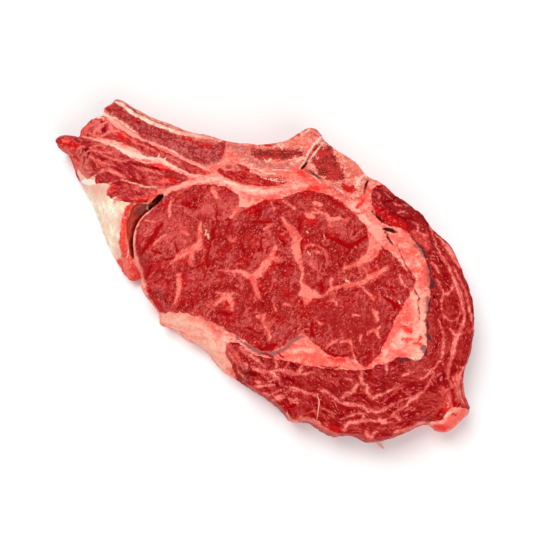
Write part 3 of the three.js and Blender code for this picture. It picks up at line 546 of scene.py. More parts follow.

# Soft creases of the lean, painted dark red as the shade in them.
SHADED_CREASES: tuple[Stroke, ...] = (
    ((67, 33, 1.1), (71.5, 34, 1.4), (75, 36.5, 1.1)), ((74.5, 25, 0.8), (78.5, 24, 1.1), (82, 24.5, 0.8)),
    ((-88, 79.5, 1.7), (-87, 76, 2.8), (-87, 73, 1.7)),
    ((-98, 63.5, 1.7), (-94.5, 62.5, 2.2), (-95.5, 59.5, 1.4)),
    ((-59, 53, 1.4), (-56.5, 52, 1.7), (-55, 51, 1.1)),
    ((-76.5, 56, 0.6), (-69.5, 55, 0.7), (-61, 53, 0.6)),
    ((-53, 21, 1.3), (-55, 18, 2), (-56.5, 15.5, 2.2), (-58, 12, 2.3), (-60, 9.5, 1.9), (-62, 7, 1.6),
     (-65, 4, 1.1)), ((-58, -2, 1.1), (-59.5, -4.5, 2.1), (-60.5, -7, 2.1), (-61.5, -9.5, 1.4)),
    ((-58.5, 6, 0.9), (-56, 5, 1.1), (-53, 4, 0.9)), ((-51.5, 0.5, 0.9), (-48.5, 1, 1.3), (-46, 2, 1)),
    ((-46, 9, 0.9), (-44.5, 6.5, 1.2), (-44.5, 4.5, 0.9)),
    ((-42, 33.5, 0.7), (-39.5, 31.5, 1.1), (-37.5, 29.5, 1), (-34, 30.5, 0.8)),
    ((-25.5, 17.5, 1.4), (-24.5, 15, 2.1), (-25, 12, 1.6)),
    ((-23.5, 31, 0.7), (-23.5, 25.5, 1.1), (-23.5, 21, 1.1), (-24, 17.5, 0.9)),
    ((-16.5, 22, 1.3), (-17.5, 18.5, 1.3), (-18.5, 16, 0.9)),
    ((-37.5, -20.5, 1.1), (-36, -22.5, 1.7), (-35.5, -25.5, 1)),
    ((-20.5, -27.5, 1.3), (-17, -29, 2.2), (-15, -28, 1.3)), ((-7.5, 2, 1), (-6, 4, 1), (-5, 6.5, 0.8)),
    ((1, 13.5, 0.9), (0.5, 9.5, 1.2), (1, 5.5, 0.9)), ((4.5, 7.5, 1.1), (3.5, 4, 1.2)),
    ((-9, 13, 0.8), (-9, 8.5, 1.1), (-8.5, 3, 1.1)),
    ((-26, 11.5, 0.9), (-27.5, 5.5, 1.1), (-28.5, 0.5, 1.2), (-28, -3.5, 1.1)),
    ((-7.5, -35.5, 0.9), (-3.5, -37, 1.2), (0, -39, 1)), ((-2.5, 22, 1.1), (2, 21.5, 1.4), (6.5, 22, 1.1)),
    ((-1.5, 28, 1.7), (0, 28.5, 2.2), (-0.5, 25.5, 1.7)), ((8.5, 32.5, 1.3), (11.5, 31.5, 1.2)),
    ((10.5, 12.5, 1.1), (13, 10.5, 1.4), (13, 7.5, 1.1)), ((22, 22.5, 1.1), (21, 18, 1.2), (21.5, 14, 1.1)),
    ((33.5, 13.5, 1.7), (36, 15, 1.9), (37, 12.5, 1.4)),
    ((37.5, 13, 1.1), (40, 12, 1.8), (43.5, 10.5, 2.3), (47, 8.5, 2.8), (50.5, 9.5, 2.5), (53.5, 11, 1.9),
     (56.5, 13, 2.2), (59.5, 15, 1.7)), ((23, 11.5, 1.1), (22, 8, 1.4), (22.5, 4, 1.1)),
    ((32.5, 9.5, 0.9), (35, 6.5, 1.4)), ((27.5, -32.5, 0.9), (27.5, -36, 1.8), (27, -40, 1.4)),
    ((30.5, -31.5, 0.7), (33, -32.5, 0.9), (35.5, -33, 0.7)),
    ((32.5, -11, 1), (33.5, -14.5, 1.6), (32.5, -16, 1.1)),
    ((-1, -46, 1.3), (2, -47, 2.1), (5.5, -45.5, 2.1), (8.5, -45, 1.6)),
    ((66, -19.5, 1.3), (69, -21.5, 2.3), (72, -23, 2.3), (74.5, -22.5, 1.1)),
    ((48.5, -46.5, 0.9), (50.5, -50, 1.2)), ((38, 5.5, 0.8), (38.5, 0, 0.9)),
    ((42, 3, 0.7), (42.5, -3.5, 0.8)), ((31, 0, 0.7), (31.5, -4.5, 0.7)), ((45, 2, 0.7), (43.5, -3.5, 0.8)),
    ((15, -1.5, 0.7), (17.5, -3, 0.9)), ((-18.5, 22.5, 0.8), (-16.5, 23.5, 1.3), (-15.5, 23, 0.9)),
    ((-35.5, 11, 1), (-35, 11.5, 1)), ((67, -20.5, 0.7), (69.5, -22, 1.2), (72, -23, 1.1)),
    ((93, -68, 1.1), (94, -68.5, 0.9)), ((102, -77.5, 0.7), (104, -75, 1), (105.5, -76.5, 0.7)),
    ((103, -76, 0.4), (104.5, -75, 0.8)),
    ((-53.5, 37.5, 0.7), (-50.5, 39, 0.8), (-48.5, 41, 0.8), (-46.5, 41.5, 0.7)),
    ((-103.5, 70, 0.9), (-102, 69, 1.3), (-100.5, 68.5, 1)),
    ((-98, 63, 1.3), (-95, 61.5, 1.8), (-95.5, 59, 1.3)),
    ((-90, 59, 0.7), (-86.5, 57.5, 1), (-83.5, 57.5, 0.7)), ((-100, 57, 0.7), (-98, 59, 0.9)),
    ((-8.5, -60, 0.9), (-6, -59, 1.7), (-3.5, -60, 2.2), (-2, -60.5, 1.4)),
    ((12.5, -62, 1.1), (15, -62.5, 1.9), (17.5, -64, 1.4)), ((15, -77, 1.1), (18, -76, 1.7)),
    ((1, -49, 0.9), (4.5, -50, 1.3), (7.5, -51.5, 1.1)), ((9, -49, 0.9), (12, -51, 1.3)),
    ((15.5, -54, 0.9), (18, -55.5, 1.3), (20, -56.5, 1)), ((5.5, -54, 0.8), (8, -55, 1.1)),
    ((-1, -65.5, 0.7), (2, -67, 0.9), (5.5, -68.5, 0.7)), ((8.5, -65.5, 0.7), (12, -67.5, 0.9)),
    ((3, -62, 0.7), (6.5, -64, 0.9), (9.5, -65, 0.7)), ((94.5, -78, 0.8), (92, -81.5, 1.1)),
    ((99.5, -80.5, 0.7), (102, -81, 0.8)),
    ((74, 9, 0.6), (76.5, 2.5, 0.7), (78, -1.5, 0.6), (81, -6.5, 0.7), (82.5, -8, 0.8), (83, -11, 0.8),
     (82, -14, 0.8), (83, -17, 0.8), (85, -20, 0.9), (84, -22, 0.7), (84.5, -26, 0.6), (84.5, -31.5, 0.4)),
    ((65, 39.5, 0.4), (66.5, 36.5, 0.7), (66, 34, 0.5)), ((61.5, 37.5, 0.4), (63, 35, 0.6)),
    ((68.5, 31.5, 0.4), (71, 29, 0.6), (75, 26, 0.4)),
    ((32.5, -55.5, 0.5), (36, -56.5, 0.9), (39, -56.5, 0.9), (42, -55.5, 0.6)),
    ((34, 38, 0.6), (38.5, 35.5, 0.8), (42.5, 32.5, 0.8), (47, 29.5, 0.6)),
    ((74, 27, 0.9), (77.5, 24, 1.1), (81, 20, 0.8)), ((87, 26, 0.7), (90.5, 21.5, 0.8), (93, 16.5, 0.6)),
    ((79, 28.5, 0.7), (82, 25.5, 0.9), (83.5, 22.5, 0.7)),
    ((34, -48, 0.8), (38, -49.5, 1.1), (42.5, -50.5, 1.1), (46, -50, 0.8)),
)

# Fresh, wet, bright red places, and deep red painted shade below and right of the eye's raised veins.
BRIGHT_AND_SHADE: tuple[Stroke, ...] = (
    ((23.5, 38.5, 1.6), (28.5, 40.5, 3.2), (32, 41, 1.6)), ((76.5, -35, 2.7), (79, -37, 3.2)),
    ((75, -41.5, 1.4), (79, -42, 1.6)), ((83, -43, 1.6), (85, -41, 1.6)),
    ((35.5, -87.5, 3.8), (40.5, -89, 3.8)), ((-60.5, -13, 2.7), (-57.5, -19.5, 3.2), (-53.5, -24.5, 2.7)),
    ((-50.5, 33, 2.7), (-52, 27.5, 1.6)), ((-86.5, 87, 1.4), (-84, 89, 1.4), (-81.5, 90.5, 0.9)),
    ((-71.5, 81, 1.4), (-69.5, 80.5, 1.8), (-68, 81.5, 0.9)),
    ((-42.5, 69.5, 1.4), (-39, 69.5, 2.1), (-37.5, 67.5, 1.2)),
    ((-36, 67, 1.2), (-30.5, 66, 1.4), (-26.5, 65.5, 0.9)), ((-23.5, 63.5, 1.6), (-21.5, 63.5, 1.8)),
    ((-35, 51.5, 1.8), (-30.5, 50.5, 2.3), (-28, 49.5, 1.2)),
    ((-59, 52.5, 1.8), (-56.5, 51.5, 2.1), (-53.5, 52.5, 1.4)),
    ((-78, 74.5, 1.4), (-74, 70.5, 2.1), (-69.5, 67.5, 1.6)), ((-87, 80.5, 1.6), (-84.5, 79.5, 1.4)),
    ((20, 71, 1.2), (21.5, 72, 1.4)), ((2.5, 66, 1.4), (6, 66, 1.4)),
    ((45.5, 42.5, 2.8), (49, 40.5, 3.9), (51, 41.5, 2.8)),
    ((21.5, 49.5, 2.2), (23, 49, 3.1), (24.5, 47.5, 1.7)), ((35, 41, 1.4), (38, 41, 1.4)),
    ((56, 33.5, 1.9), (52.5, 30, 1.7)), ((49.5, 35.5, 0.8), (55, 35.5, 0.7)),
    ((51, 27, 0.6), (56.5, 27, 0.6)), ((24.5, 36.5, 1.9), (29.5, 38, 1.9)),
    ((5.5, 48.5, 0.6), (11, 46.5, 0.7)), ((11, 47.5, 0.6), (14.5, 46.5, 0.7)),
    ((2.5, 45, 0.6), (10, 44.5, 0.7)), ((3, 42.5, 0.7), (12, 42, 0.8)),
    ((12.5, 44.5, 0.7), (16, 44.5, 0.7)), ((12.5, 41.5, 0.7), (16.5, 41.5, 0.7)),
    ((-67.5, 34, 1.4), (-62.5, 34.5, 1.7), (-59.5, 35.5, 1.7), (-56.5, 38.5, 1.4)),
    ((62.5, 29.5, 2.8), (67, 26.5, 4.7), (72.5, 23, 5.6), (77, 21, 4.7), (79, 17.5, 2.8)),
    ((76, -34.5, 1.2), (78, -36.5, 2), (79.5, -37.5, 2.5)),
    ((75, -42, 0.8), (77, -43, 1), (79, -42.5, 0.8)), ((81.5, -44, 1.6), (85, -44.5, 1.7)),
    ((92.5, -87, 1.7), (95, -88, 2.5), (97.5, -87, 1.9)), ((100, -81.5, 0.7), (102, -81, 0.7)),
    ((-101, 74, 2.2), (-98.5, 76.5, 3.3), (-96, 78, 2.2)),
    ((-79.5, 73.5, 2.2), (-77.5, 70.5, 2.8), (-74.5, 67.5, 2.2)),
    ((-68, 33.5, 1.7), (-62.5, 34, 2.2), (-59.5, 35.5, 2.5), (-57, 38, 1.9)),
    ((-60, 54.5, 1.7), (-55.5, 53.5, 2.8), (-50, 52, 2.2)),
    ((-56.5, 43.5, 1.7), (-52, 45, 2.5), (-46.5, 45.5, 1.7)), ((-41.5, 0, 2.2), (-39.5, -2, 1.7)),
    ((-42, -7.5, 1.8), (-40.5, -10, 2.8), (-40.5, -13, 1.9), (-41, -16, 1.4)),
    ((-42.5, -20.5, 1.8), (-40.5, -22, 1.7)), ((-18.5, -21, 1.7), (-17, -23, 2.8), (-18.5, -25, 1.9)),
    ((-7, 28.5, 2.5), (-4.5, 26.5, 3.3), (-1.5, 28, 2.6), (-4, 31, 1.9)),
    ((0.5, -10, 2), (-1, -13.5, 3.1), (-0.5, -16.5, 2.6), (0.5, -20, 1.3)),
    ((1, 32, 1.9), (4, 33, 2.2), (7, 32.5, 1.7)), ((8.5, 7, 1.7), (8.5, 4.5, 2.2), (9, 2, 1.4)),
    ((10.5, 13.5, 1.9), (13.5, 13, 1.9), (15.5, 15.5, 1.7)), ((4, -7.5, 1.9), (6, -3.5, 3), (9, -1.5, 1.9)),
    ((23, 24, 1.9), (26, 22.5, 2.8), (29, 21, 2.8), (31, 22.5, 1.7)), ((41.5, 31.5, 1.3), (45.5, 30, 1.3)),
    ((38, 34.5, 1), (42, 32.5, 1.1)), ((72, -24.5, 1.9), (74.5, -25.5, 2.6)),
    ((56.5, -6, 1.4), (60, -6.5, 1.9), (62, -4, 1.6)), ((-50.5, 33, 2.5), (-52, 29, 1.9)),
    ((-64.5, 0, 1.7), (-62, -5.5, 1.9), (-61.5, -10, 1.7)), ((1, -32.5, 1.7), (2, -35, 1.8)),
    ((34.5, -22, 1.3), (33.5, -26, 1.4)), ((105.5, -65.5, 1.9), (106.5, -69, 2), (107, -73.5, 1.7)),
    ((-70, 32, 2.5), (-71.5, 29, 4.2), (-72.5, 25.5, 4.7), (-73.5, 22, 5), (-74, 18.5, 5.3),
     (-74.5, 15, 5.6), (-74.5, 10.5, 5.8), (-74, 6, 6.7), (-73, 1.5, 8.4), (-71.5, -3, 10),
     (-70.5, -6.5, 8.9)), ((-83.5, 39, 2.5), (-82.5, 40.5, 3.9), (-80.5, 41.5, 2.8)),
    ((-102, 68.5, 1.9), (-100.5, 66, 1.7)), ((-105, 63.5, 1.7), (-103, 60, 1.9), (-102, 57.5, 1.3)),
    ((-88.5, 56.5, 1.7), (-87, 54.5, 1.9)),
    ((-6.5, -65, 1.7), (-4.5, -66.5, 2.8), (-2, -67.5, 3), (0.5, -68.5, 2.2)),
    ((1, -72.5, 1.7), (3.5, -74.5, 1.9), (7, -76, 1.7)),
    ((13, -76.5, 1.7), (15.5, -76.5, 3), (19, -75.5, 2.2)),
    ((13.5, -62.5, 1.7), (16, -63, 2.5), (18, -63.5, 1.7)),
    ((94.5, -77.5, 1.1), (93, -79.5, 1.7), (91.5, -82.5, 1.7)),
    ((99.5, -68.5, 1.7), (100.5, -72.5, 2.5), (101, -76, 2.2)),
    ((106.5, -65, 1.3), (107.5, -69, 1.7), (108, -73.5, 1.7)),
    ((93.5, -86.5, 1.1), (95.5, -87.5, 1.9), (98, -87, 1.4)),
    ((23.5, 38, 1.1), (26.5, 39, 1.7), (29.5, 38.5, 1.1)), ((8.5, 33, 1.1), (12.5, 34, 1.4)),
    ((-5.5, 29.5, 1.3), (-4, 31, 1.1)), ((37, -51.5, 1.1), (40.5, -52.5, 1.9), (44.5, -52.5, 1.3)),
    ((2, 66, 1.1), (4.5, 66.5, 1.4), (6.5, 66, 1.1)), ((-91.5, 48.5, 0.9), (-90.5, 47, 1.3)),
    ((-113.5, 68.5, 3.3), (-110.5, 68, 5.6), (-107, 67.5, 6.1), (-104.5, 66.5, 3.9)),
    ((-109.5, 65, 1.7), (-108, 63, 1.9)), ((-78.5, 4, 3.3), (-77, 0, 5), (-75, -4, 5.6), (-73, -7.5, 4.5)),
    ((100, -66, 1), (101, -70.5, 1.9), (101.5, -75, 1.9)),
    ((105, -63.5, 1.1), (107.5, -68.5, 1.8), (108.5, -74, 1.7)),
    ((97.5, -73.5, 1.3), (96.5, -77, 1.7), (94.5, -80, 1.3)),
    ((8, 7.5, 1.3), (8.5, 4.5, 1.9), (8, 2.5, 1.1)), ((10, -1.5, 1.3), (7, -3, 2.5), (4.5, -5.5, 2.2)),
    ((0.5, -12, 1.3), (-1, -14, 2.5), (-2, -16, 1.3)),
    ((-30, 16, 1.1), (-29.5, 12, 1.7), (-30.5, 8.5, 1.1)),
    ((21.5, 14, 1.1), (23.5, 10.5, 1.4), (24, 6.5, 1.1)),
    ((23, -21, 1.3), (27, -22.5, 2), (30.5, -21.5, 1.3)),
)

# Grey-brown membrane and dried edges.
GREY: tuple[Stroke, ...] = (
    ((-28, -32, 0.4), (-19, -36.5, 0.5), (-14, -38, 0.5), (-11.5, -41.5, 0.9), (-5, -46, 1.6),
     (1, -49, 2.2), (8.5, -49, 2.4), (15, -45, 2.2), (19, -41.5, 2.2), (23, -40, 1.1)),
    ((25.5, 51.5, 1.7), (29, 49, 1.7), (33.5, 47, 0.9)), ((83, 8.5, 1.8), (87, 7.5, 2.2)),
    ((86.5, 6, 2.3), (88.5, 3, 2.6)), ((90, -2.5, 1.8), (90, -7.5, 1.8)),
    ((90.5, -9.5, 2.5), (91.5, -12.5, 3.2), (91.5, -15, 1.7)),
    ((89, -20, 1.6), (89.5, -23.5, 1.8), (88.5, -27.5, 1.3)), ((87.5, -32.5, 2.2), (88.5, -35.5, 2.3)),
    ((88, -39.5, 2.3), (89.5, -42, 1.7)), ((86, -46.5, 2.6), (87, -49.5, 2.3)),
    ((73, -52.5, 1.4), (76, -52.5, 2.2), (78.5, -52.5, 1.4)), ((82.5, -53, 1.3), (84.5, -53, 1.3)),
    ((108, -56.5, 1.2), (108.5, -60, 1.7), (108, -62.5, 1.2)),
    ((80.5, 15, 0.5), (85, 10, 0.8), (89, 7, 0.5)), ((-62, 32.5, 0.9), (-61.5, 30, 1.1)),
    ((-60, 32.5, 0.6), (-59.5, 31, 0.6)),
)

# Dark purple lobes of the cap.
PLUM: tuple[Stroke, ...] = (
    ((63.5, 38.5, 2.8), (67, 37, 5.6), (71.5, 36.5, 3.3)), ((62.5, 35, 1.7), (65.5, 35, 2.2)),
    ((68, 31, 2.8), (73, 30.5, 5.6), (77, 30, 7.8), (80.5, 27.5, 5)), ((93.5, 12, 2.8), (95.5, 6.5, 3.3)),
    ((63.5, 37, 5), (68, 33, 5.5)), ((72.5, 34.5, 4.5), (77.5, 31, 6.5), (81.5, 27.5, 4.5)),
    ((82.5, 27, 3.3), (86.5, 24.5, 4.5), (90.5, 21, 3.9)),
    ((81, 22, 2.2), (84.5, 19.5, 3.9), (87.5, 17, 3.3)),
)

# Dark red marrow.
MARROW: tuple[Stroke, ...] = (
    ((-4.5, 60.5, 2.2), (-1, 60, 4.5), (3, 61, 6.1), (8, 61, 6.1), (13, 60.5, 6.1), (17.5, 61, 4.5),
     (22, 62.5, 1.9)),
    ((37, 65, 2.8), (37.5, 62, 6.1), (37, 57.5, 9.5), (35.5, 53.5, 10), (38.5, 50.5, 8.4),
     (42.5, 47.5, 5)), ((-71, 81.5, 2.2), (-67.5, 79.5, 2.2)),
    ((-67.5, 23, 2.2), (-68, 17.5, 2.5), (-69.5, 8.5, 1.9), (-69.5, 4, 1.4)),
    ((31, 64, 4.5), (35.5, 58, 7.2), (40, 52.5, 7.8), (44, 47.5, 5)),
    ((29, 59, 2.8), (32, 53.5, 3.9), (36, 50, 3.3)),
    ((-4.5, 63.5, 2.8), (1, 61.5, 4.5), (8, 61, 5), (15.5, 61, 4.5), (22, 60.5, 3.3)),
)

# Smooth pink gristle and cartilage.
GRISTLE: tuple[Stroke, ...] = (
    ((-80.5, 93.5, 1.4), (-73.5, 90.5, 1.4), (-65, 85.5, 1.4), (-56.5, 81.5, 1.6), (-48, 78, 1.9),
     (-39.5, 74.5, 1.9), (-31, 72.5, 2.2), (-22.5, 70, 2.2)),
    ((-85.5, 83, 2.7), (-78.5, 77.5, 3), (-72.5, 74, 2), (-66.5, 70.5, 1.4)),
    ((-15.5, 66.5, 2.7), (-14.5, 62.5, 2.7), (-13.5, 59.5, 1.6)),
    ((-37, 70, 2.7), (-30.5, 69, 2.7), (-24, 67.5, 1.6)), ((48.5, 57, 3.9), (53, 54, 7.2), (56, 51, 4.5)),
    ((7.5, 58, 1.4), (9.5, 56, 1.7)), ((14, 68.5, 2.2), (22, 67.5, 3.3), (27, 70, 2.2)),
)

# Grey-pink sawn bone.
ASH: tuple[Stroke, ...] = (
    ((-15.5, 65, 2.8), (-11.5, 64.5, 3.9), (-7, 63.5, 2.8)),
    ((-7.5, 59, 1.9), (-3, 56, 2.8), (2.5, 54, 2.8), (8, 53.5, 2.5), (16.5, 54.5, 1.9)),
    ((40.5, 53.5, 1.7), (43, 50.5, 3.3), (44.5, 47.5, 2.2)), ((40.5, 42.5, 2.2), (43.5, 40.5, 2.8)),
    ((-68.5, 28.5, 3.9), (-64.5, 29.5, 5), (-62, 31, 3.3)),
)

# ---- Fields over the steak --------------------------------------------------------------


class Layer(Enum):
    """The marks that a mesh carries for its finish, each in millimetres inside the mark."""

    VEIN = "vein"
    # pale skins and threads, with some painted highlights
    PALE_AND_HIGHLIGHT = "pale"
    # broad pale places, with some painted highlights
    LARD_AND_HIGHLIGHT = "lard"
    # bright red places, and painted shade beside the veins
    BRIGHT_AND_SHADE = "bright"
    GREY = "grey"
    # painted shadow in clefts and holes
    CRACK_SHADOW = "crack"
    # painted shade in soft creases
    CREASE = "crease_shade"
    PLUM = "plum"
    MARROW = "marrow"
    GRISTLE = "gristle"
    ASH = "ash"
    PALER = "paler"
    DEEPER = "deeper"
    RIM = "rim"


STROKES: dict[Layer, tuple[Stroke, ...]] = {
    Layer.VEIN: EYE_VEINS + CAP_VEINS + FLANK_VEINS,
    Layer.PALE_AND_HIGHLIGHT: PALE_AND_HIGHLIGHT,
    Layer.LARD_AND_HIGHLIGHT: LARD_AND_HIGHLIGHT,
    Layer.BRIGHT_AND_SHADE: BRIGHT_AND_SHADE,
    Layer.GREY: GREY,
    Layer.CRACK_SHADOW: SHADOWED_CRACKS,
    Layer.CREASE: SHADED_CREASES,
    Layer.PLUM: PLUM,
    Layer.MARROW: MARROW,
    Layer.GRISTLE: GRISTLE,
    Layer.ASH: ASH,
    Layer.PALER: PALER,
    Layer.DEEPER: DEEPER,
}


class Flow(Enum):
    """How the grain of a piece runs."""

    ROUND = "round the middle of the steak"
    STRAIGHT = "in one direction"


def smooth_step(low: float, high: float, value: Array) -> Array:
    """A smooth rise from 0 at low to 1 at high."""
    share = np.clip((value - low) / (high - low), 0, 1)
    return share * share * (3 - 2 * share)


def smooth_curve(points: Array, closed: bool, spacing: float) -> Array:
    """Lays even points along a centripetal curve through the given ones.

    Args:
        points: One row for each point: x, y and any further columns to carry along.
        closed: Whether the curve runs back to its start.
        spacing: Distance between the points that come back.

    Returns:
        The even points, one row each, without a repeat of the first.
    """
    given = np.asarray(points, float)
    if closed:
        chain = np.vstack([given[-1:], given, given[:2]])
    else:
        chain = np.vstack([2 * given[0] - given[1], given, 2 * given[-1] - given[-2]])
    knots = np.linalg.norm(np.diff(chain[:, :2], axis=0), axis=1) ** 0.5
    knots = np.maximum(knots, 1e-6)[:, None]
    before, here, after = knots[:-2], knots[1:-1], knots[2:]
    p0, p1, p2, p3 = chain[:-3], chain[1:-2], chain[2:-1], chain[3:]
    leave = ((p1 - p0) / before - (p2 - p0) / (before + here) + (p2 - p1) / here) * here
    meet = ((p2 - p1) / here - (p3 - p1) / (here + after) + (p3 - p2) / after) * here
    t = np.linspace(0, 1, 24, endpoint=False)[:, None, None]
    fine = (
        (2 * t**3 - 3 * t**2 + 1) * p1
        + (t**3 - 2 * t**2 + t) * leave
        + (3 * t**2 - 2 * t**3) * p2
        + (t**3 - t**2) * meet
    )
    fine = np.vstack([fine.transpose(1, 0, 2).reshape(-1, given.shape[1]), p2[-1:]])
    run = np.concatenate([[0], np.cumsum(np.linalg.norm(np.diff(fine[:, :2], axis=0), axis=1))])
    count = max(int(round(run[-1] / spacing)), 2)
    stops = np.linspace(0, run[-1], count + 1)
    even = np.stack([np.interp(stops, run, column) for column in fine.T], axis=1)
    return even[:-1] if closed else even


class Relief:
    """Smooth random relief over a plane, the same in each run."""

    SIDE = 128              # lattice points to a side before the relief repeats
    SHIFT = (17.3, -9.1)    # how far each layer lies from the last

    def __init__(self, seed: int) -> None:
        """Draws the slopes at the lattice points.

        Args:
            seed: Seed of the draw.
        """
        angles = np.random.default_rng(seed).uniform(0, 2 * math.pi, (self.SIDE, self.SIDE))
        self.slope_x = np.cos(angles)
        self.slope_y = np.sin(angles)

    def wave(self, x: Array, y: Array) -> Array:
        """One layer of relief with lattice points a unit apart.

        Args:
            x: Places along.
            y: Places across.

        Returns:
            The relief at each place, about -1 to 1.
        """
        left, low = np.floor(x).astype(int), np.floor(y).astype(int)
        dx, dy = x - left, y - low
        ease_x = dx * dx * dx * (dx * (dx * 6 - 15) + 10)
        ease_y = dy * dy * dy * (dy * (dy * 6 - 15) + 10)

        def corner(right: int, up: int) -> Array:
            """The slope of one corner of the cell, carried to each place."""
            place = (low + up) % self.SIDE, (left + right) % self.SIDE
            return self.slope_x[place] * (dx - right) + self.slope_y[place] * (dy - up)

        bottom = corner(0, 0) * (1 - ease_x) + corner(1, 0) * ease_x
        top = corner(0, 1) * (1 - ease_x) + corner(1, 1) * ease_x
        return 1.5 * (bottom * (1 - ease_y) + top * ease_y)

    def layers(self, x: Array, y: Array, size: float, count: int = 3) -> Array:
        """Several layers of relief, each half the size and height of the last.

        Args:
            x: Places along.
            y: Places across.
            size: Size of the largest lumps.
            count: Number of layers.

        Returns:
            The relief at each place.
        """
        total = np.zeros_like(x)
        for octave in range(count):
            scale = 2.0**octave / size
            move_x, move_y = (octave * shift for shift in self.SHIFT)
            total += 0.5**octave * self.wave(x * scale + move_x, y * scale + move_y)
        return total


@dataclass(frozen=True)
class Grid:
    """The even grid on which every field of the steak is worked out."""

    step: float = 0.5
    half_length: float = 121.0
    half_width: float = 101.0

    def axes(self) -> tuple[Array, Array]:
        """The grid's places.

        Returns:
            The places along the steak, then those across it.
        """
        halves = (self.half_length, self.half_width)
        counts = [int(round(2 * half / self.step)) + 1 for half in halves]
        return tuple(np.linspace(-half, half, count) for half, count in zip(halves, counts))

    def window(self, points: Array, margin: float) -> tuple[slice, slice]:
        """Finds the rows and columns within a margin of some points.

        Args:
            points: One row for each point: x, y and any further columns.
            margin: The margin.

        Returns:
            The rows, then the columns.
        """
        low = points[:, :2].min(axis=0) - margin + (self.half_length, self.half_width)
        high = points[:, :2].max(axis=0) + margin + (self.half_length, self.half_width)
        first = np.maximum(np.floor(low / self.step), 0).astype(int)
        last = np.ceil(high / self.step).astype(int) + 1
        return slice(first[1], max(last[1], 0)), slice(first[0], max(last[0], 0))

    def read(self, values: Array, x: Array, y: Array) -> Array:
        """Reads a field between its grid points.

        Args:
            values: The field, one value for each grid point.
            x: Places along the steak.
            y: Places across it.

        Returns:
            The field at each place.
        """
        column = np.clip((x + self.half_length) / self.step, 0, values.shape[1] - 1.001)
        row = np.clip((y + self.half_width) / self.step, 0, values.shape[0] - 1.001)
        left, low = column.astype(int), row.astype(int)
        dx, dy = column - left, row - low
        bottom = values[low, left] * (1 - dx) + values[low, left + 1] * dx
        top = values[low + 1, left] * (1 - dx) + values[low + 1, left + 1] * dx
        return bottom * (1 - dy) + top * dy


def depth_inside(outline: Array, x: Array, y: Array) -> Array:
    """Distance from places to a closed outline.

    Args:
        outline: One row for each of its points.
        x: Places along.
        y: Places across.

    Returns:
        The distance of each place, positive inside the outline.
    """
    nearest = np.full(x.shape, np.inf)
    inside = np.zeros(x.shape, bool)
    for (ax, ay), (bx, by) in zip(outline, np.roll(outline, -1, axis=0)):
        dx, dy = bx - ax, by - ay
        share = np.clip(((x - ax) * dx + (y - ay) * dy) / (dx * dx + dy * dy), 0, 1)
        nearest = np.minimum(nearest, (x - ax - share * dx) ** 2 + (y - ay - share * dy) ** 2)
        if ay != by:
            inside ^= ((ay > y) != (by > y)) & (x < ax + (y - ay) * dx / dy)
    return np.where(inside, 1, -1) * np.sqrt(nearest)


def depth_in_stroke(path: Array, x: Array, y: Array) -> Array:
    """How deep places lie inside a brush stroke of changing width.

    Args:
        path: One row for each point of the stroke: x, y and width.
        x: Places along.
        y: Places across.

    Returns:
        The depth of each place, negative outside the stroke.
    """
    deepest = np.full(x.shape, -np.inf)
    for (ax, ay, aw), (bx, by, bw) in zip(path[:-1], path[1:]):
        dx, dy = bx - ax, by - ay
        share = np.clip(((x - ax) * dx + (y - ay) * dy) / max(dx * dx + dy * dy, 1e-9), 0, 1)
        away = np.hypot(x - ax - share * dx, y - ay - share * dy)
        deepest = np.maximum(deepest, (aw + share * (bw - aw)) / 2 - away)
    return deepest


def deep_parts(depth: Array, least: float) -> Array:
    """The parts of a piece that are deeper somewhere than a least depth.

    Args:
        depth: Depth inside the piece.
        least: The least depth that keeps a part.

    Returns:
        Where the kept parts lie.
    """
    inside = depth > 0
    reached = depth > least
    while True:
        grown = reached.copy()
        grown[1:] |= reached[:-1]
        grown[:-1] |= reached[1:]
        grown[:, 1:] |= grown[:, :-1]
        grown[:, :-1] |= grown[:, 1:]
        grown &= inside
        if (grown == reached).all():
            return reached
        reached = grown


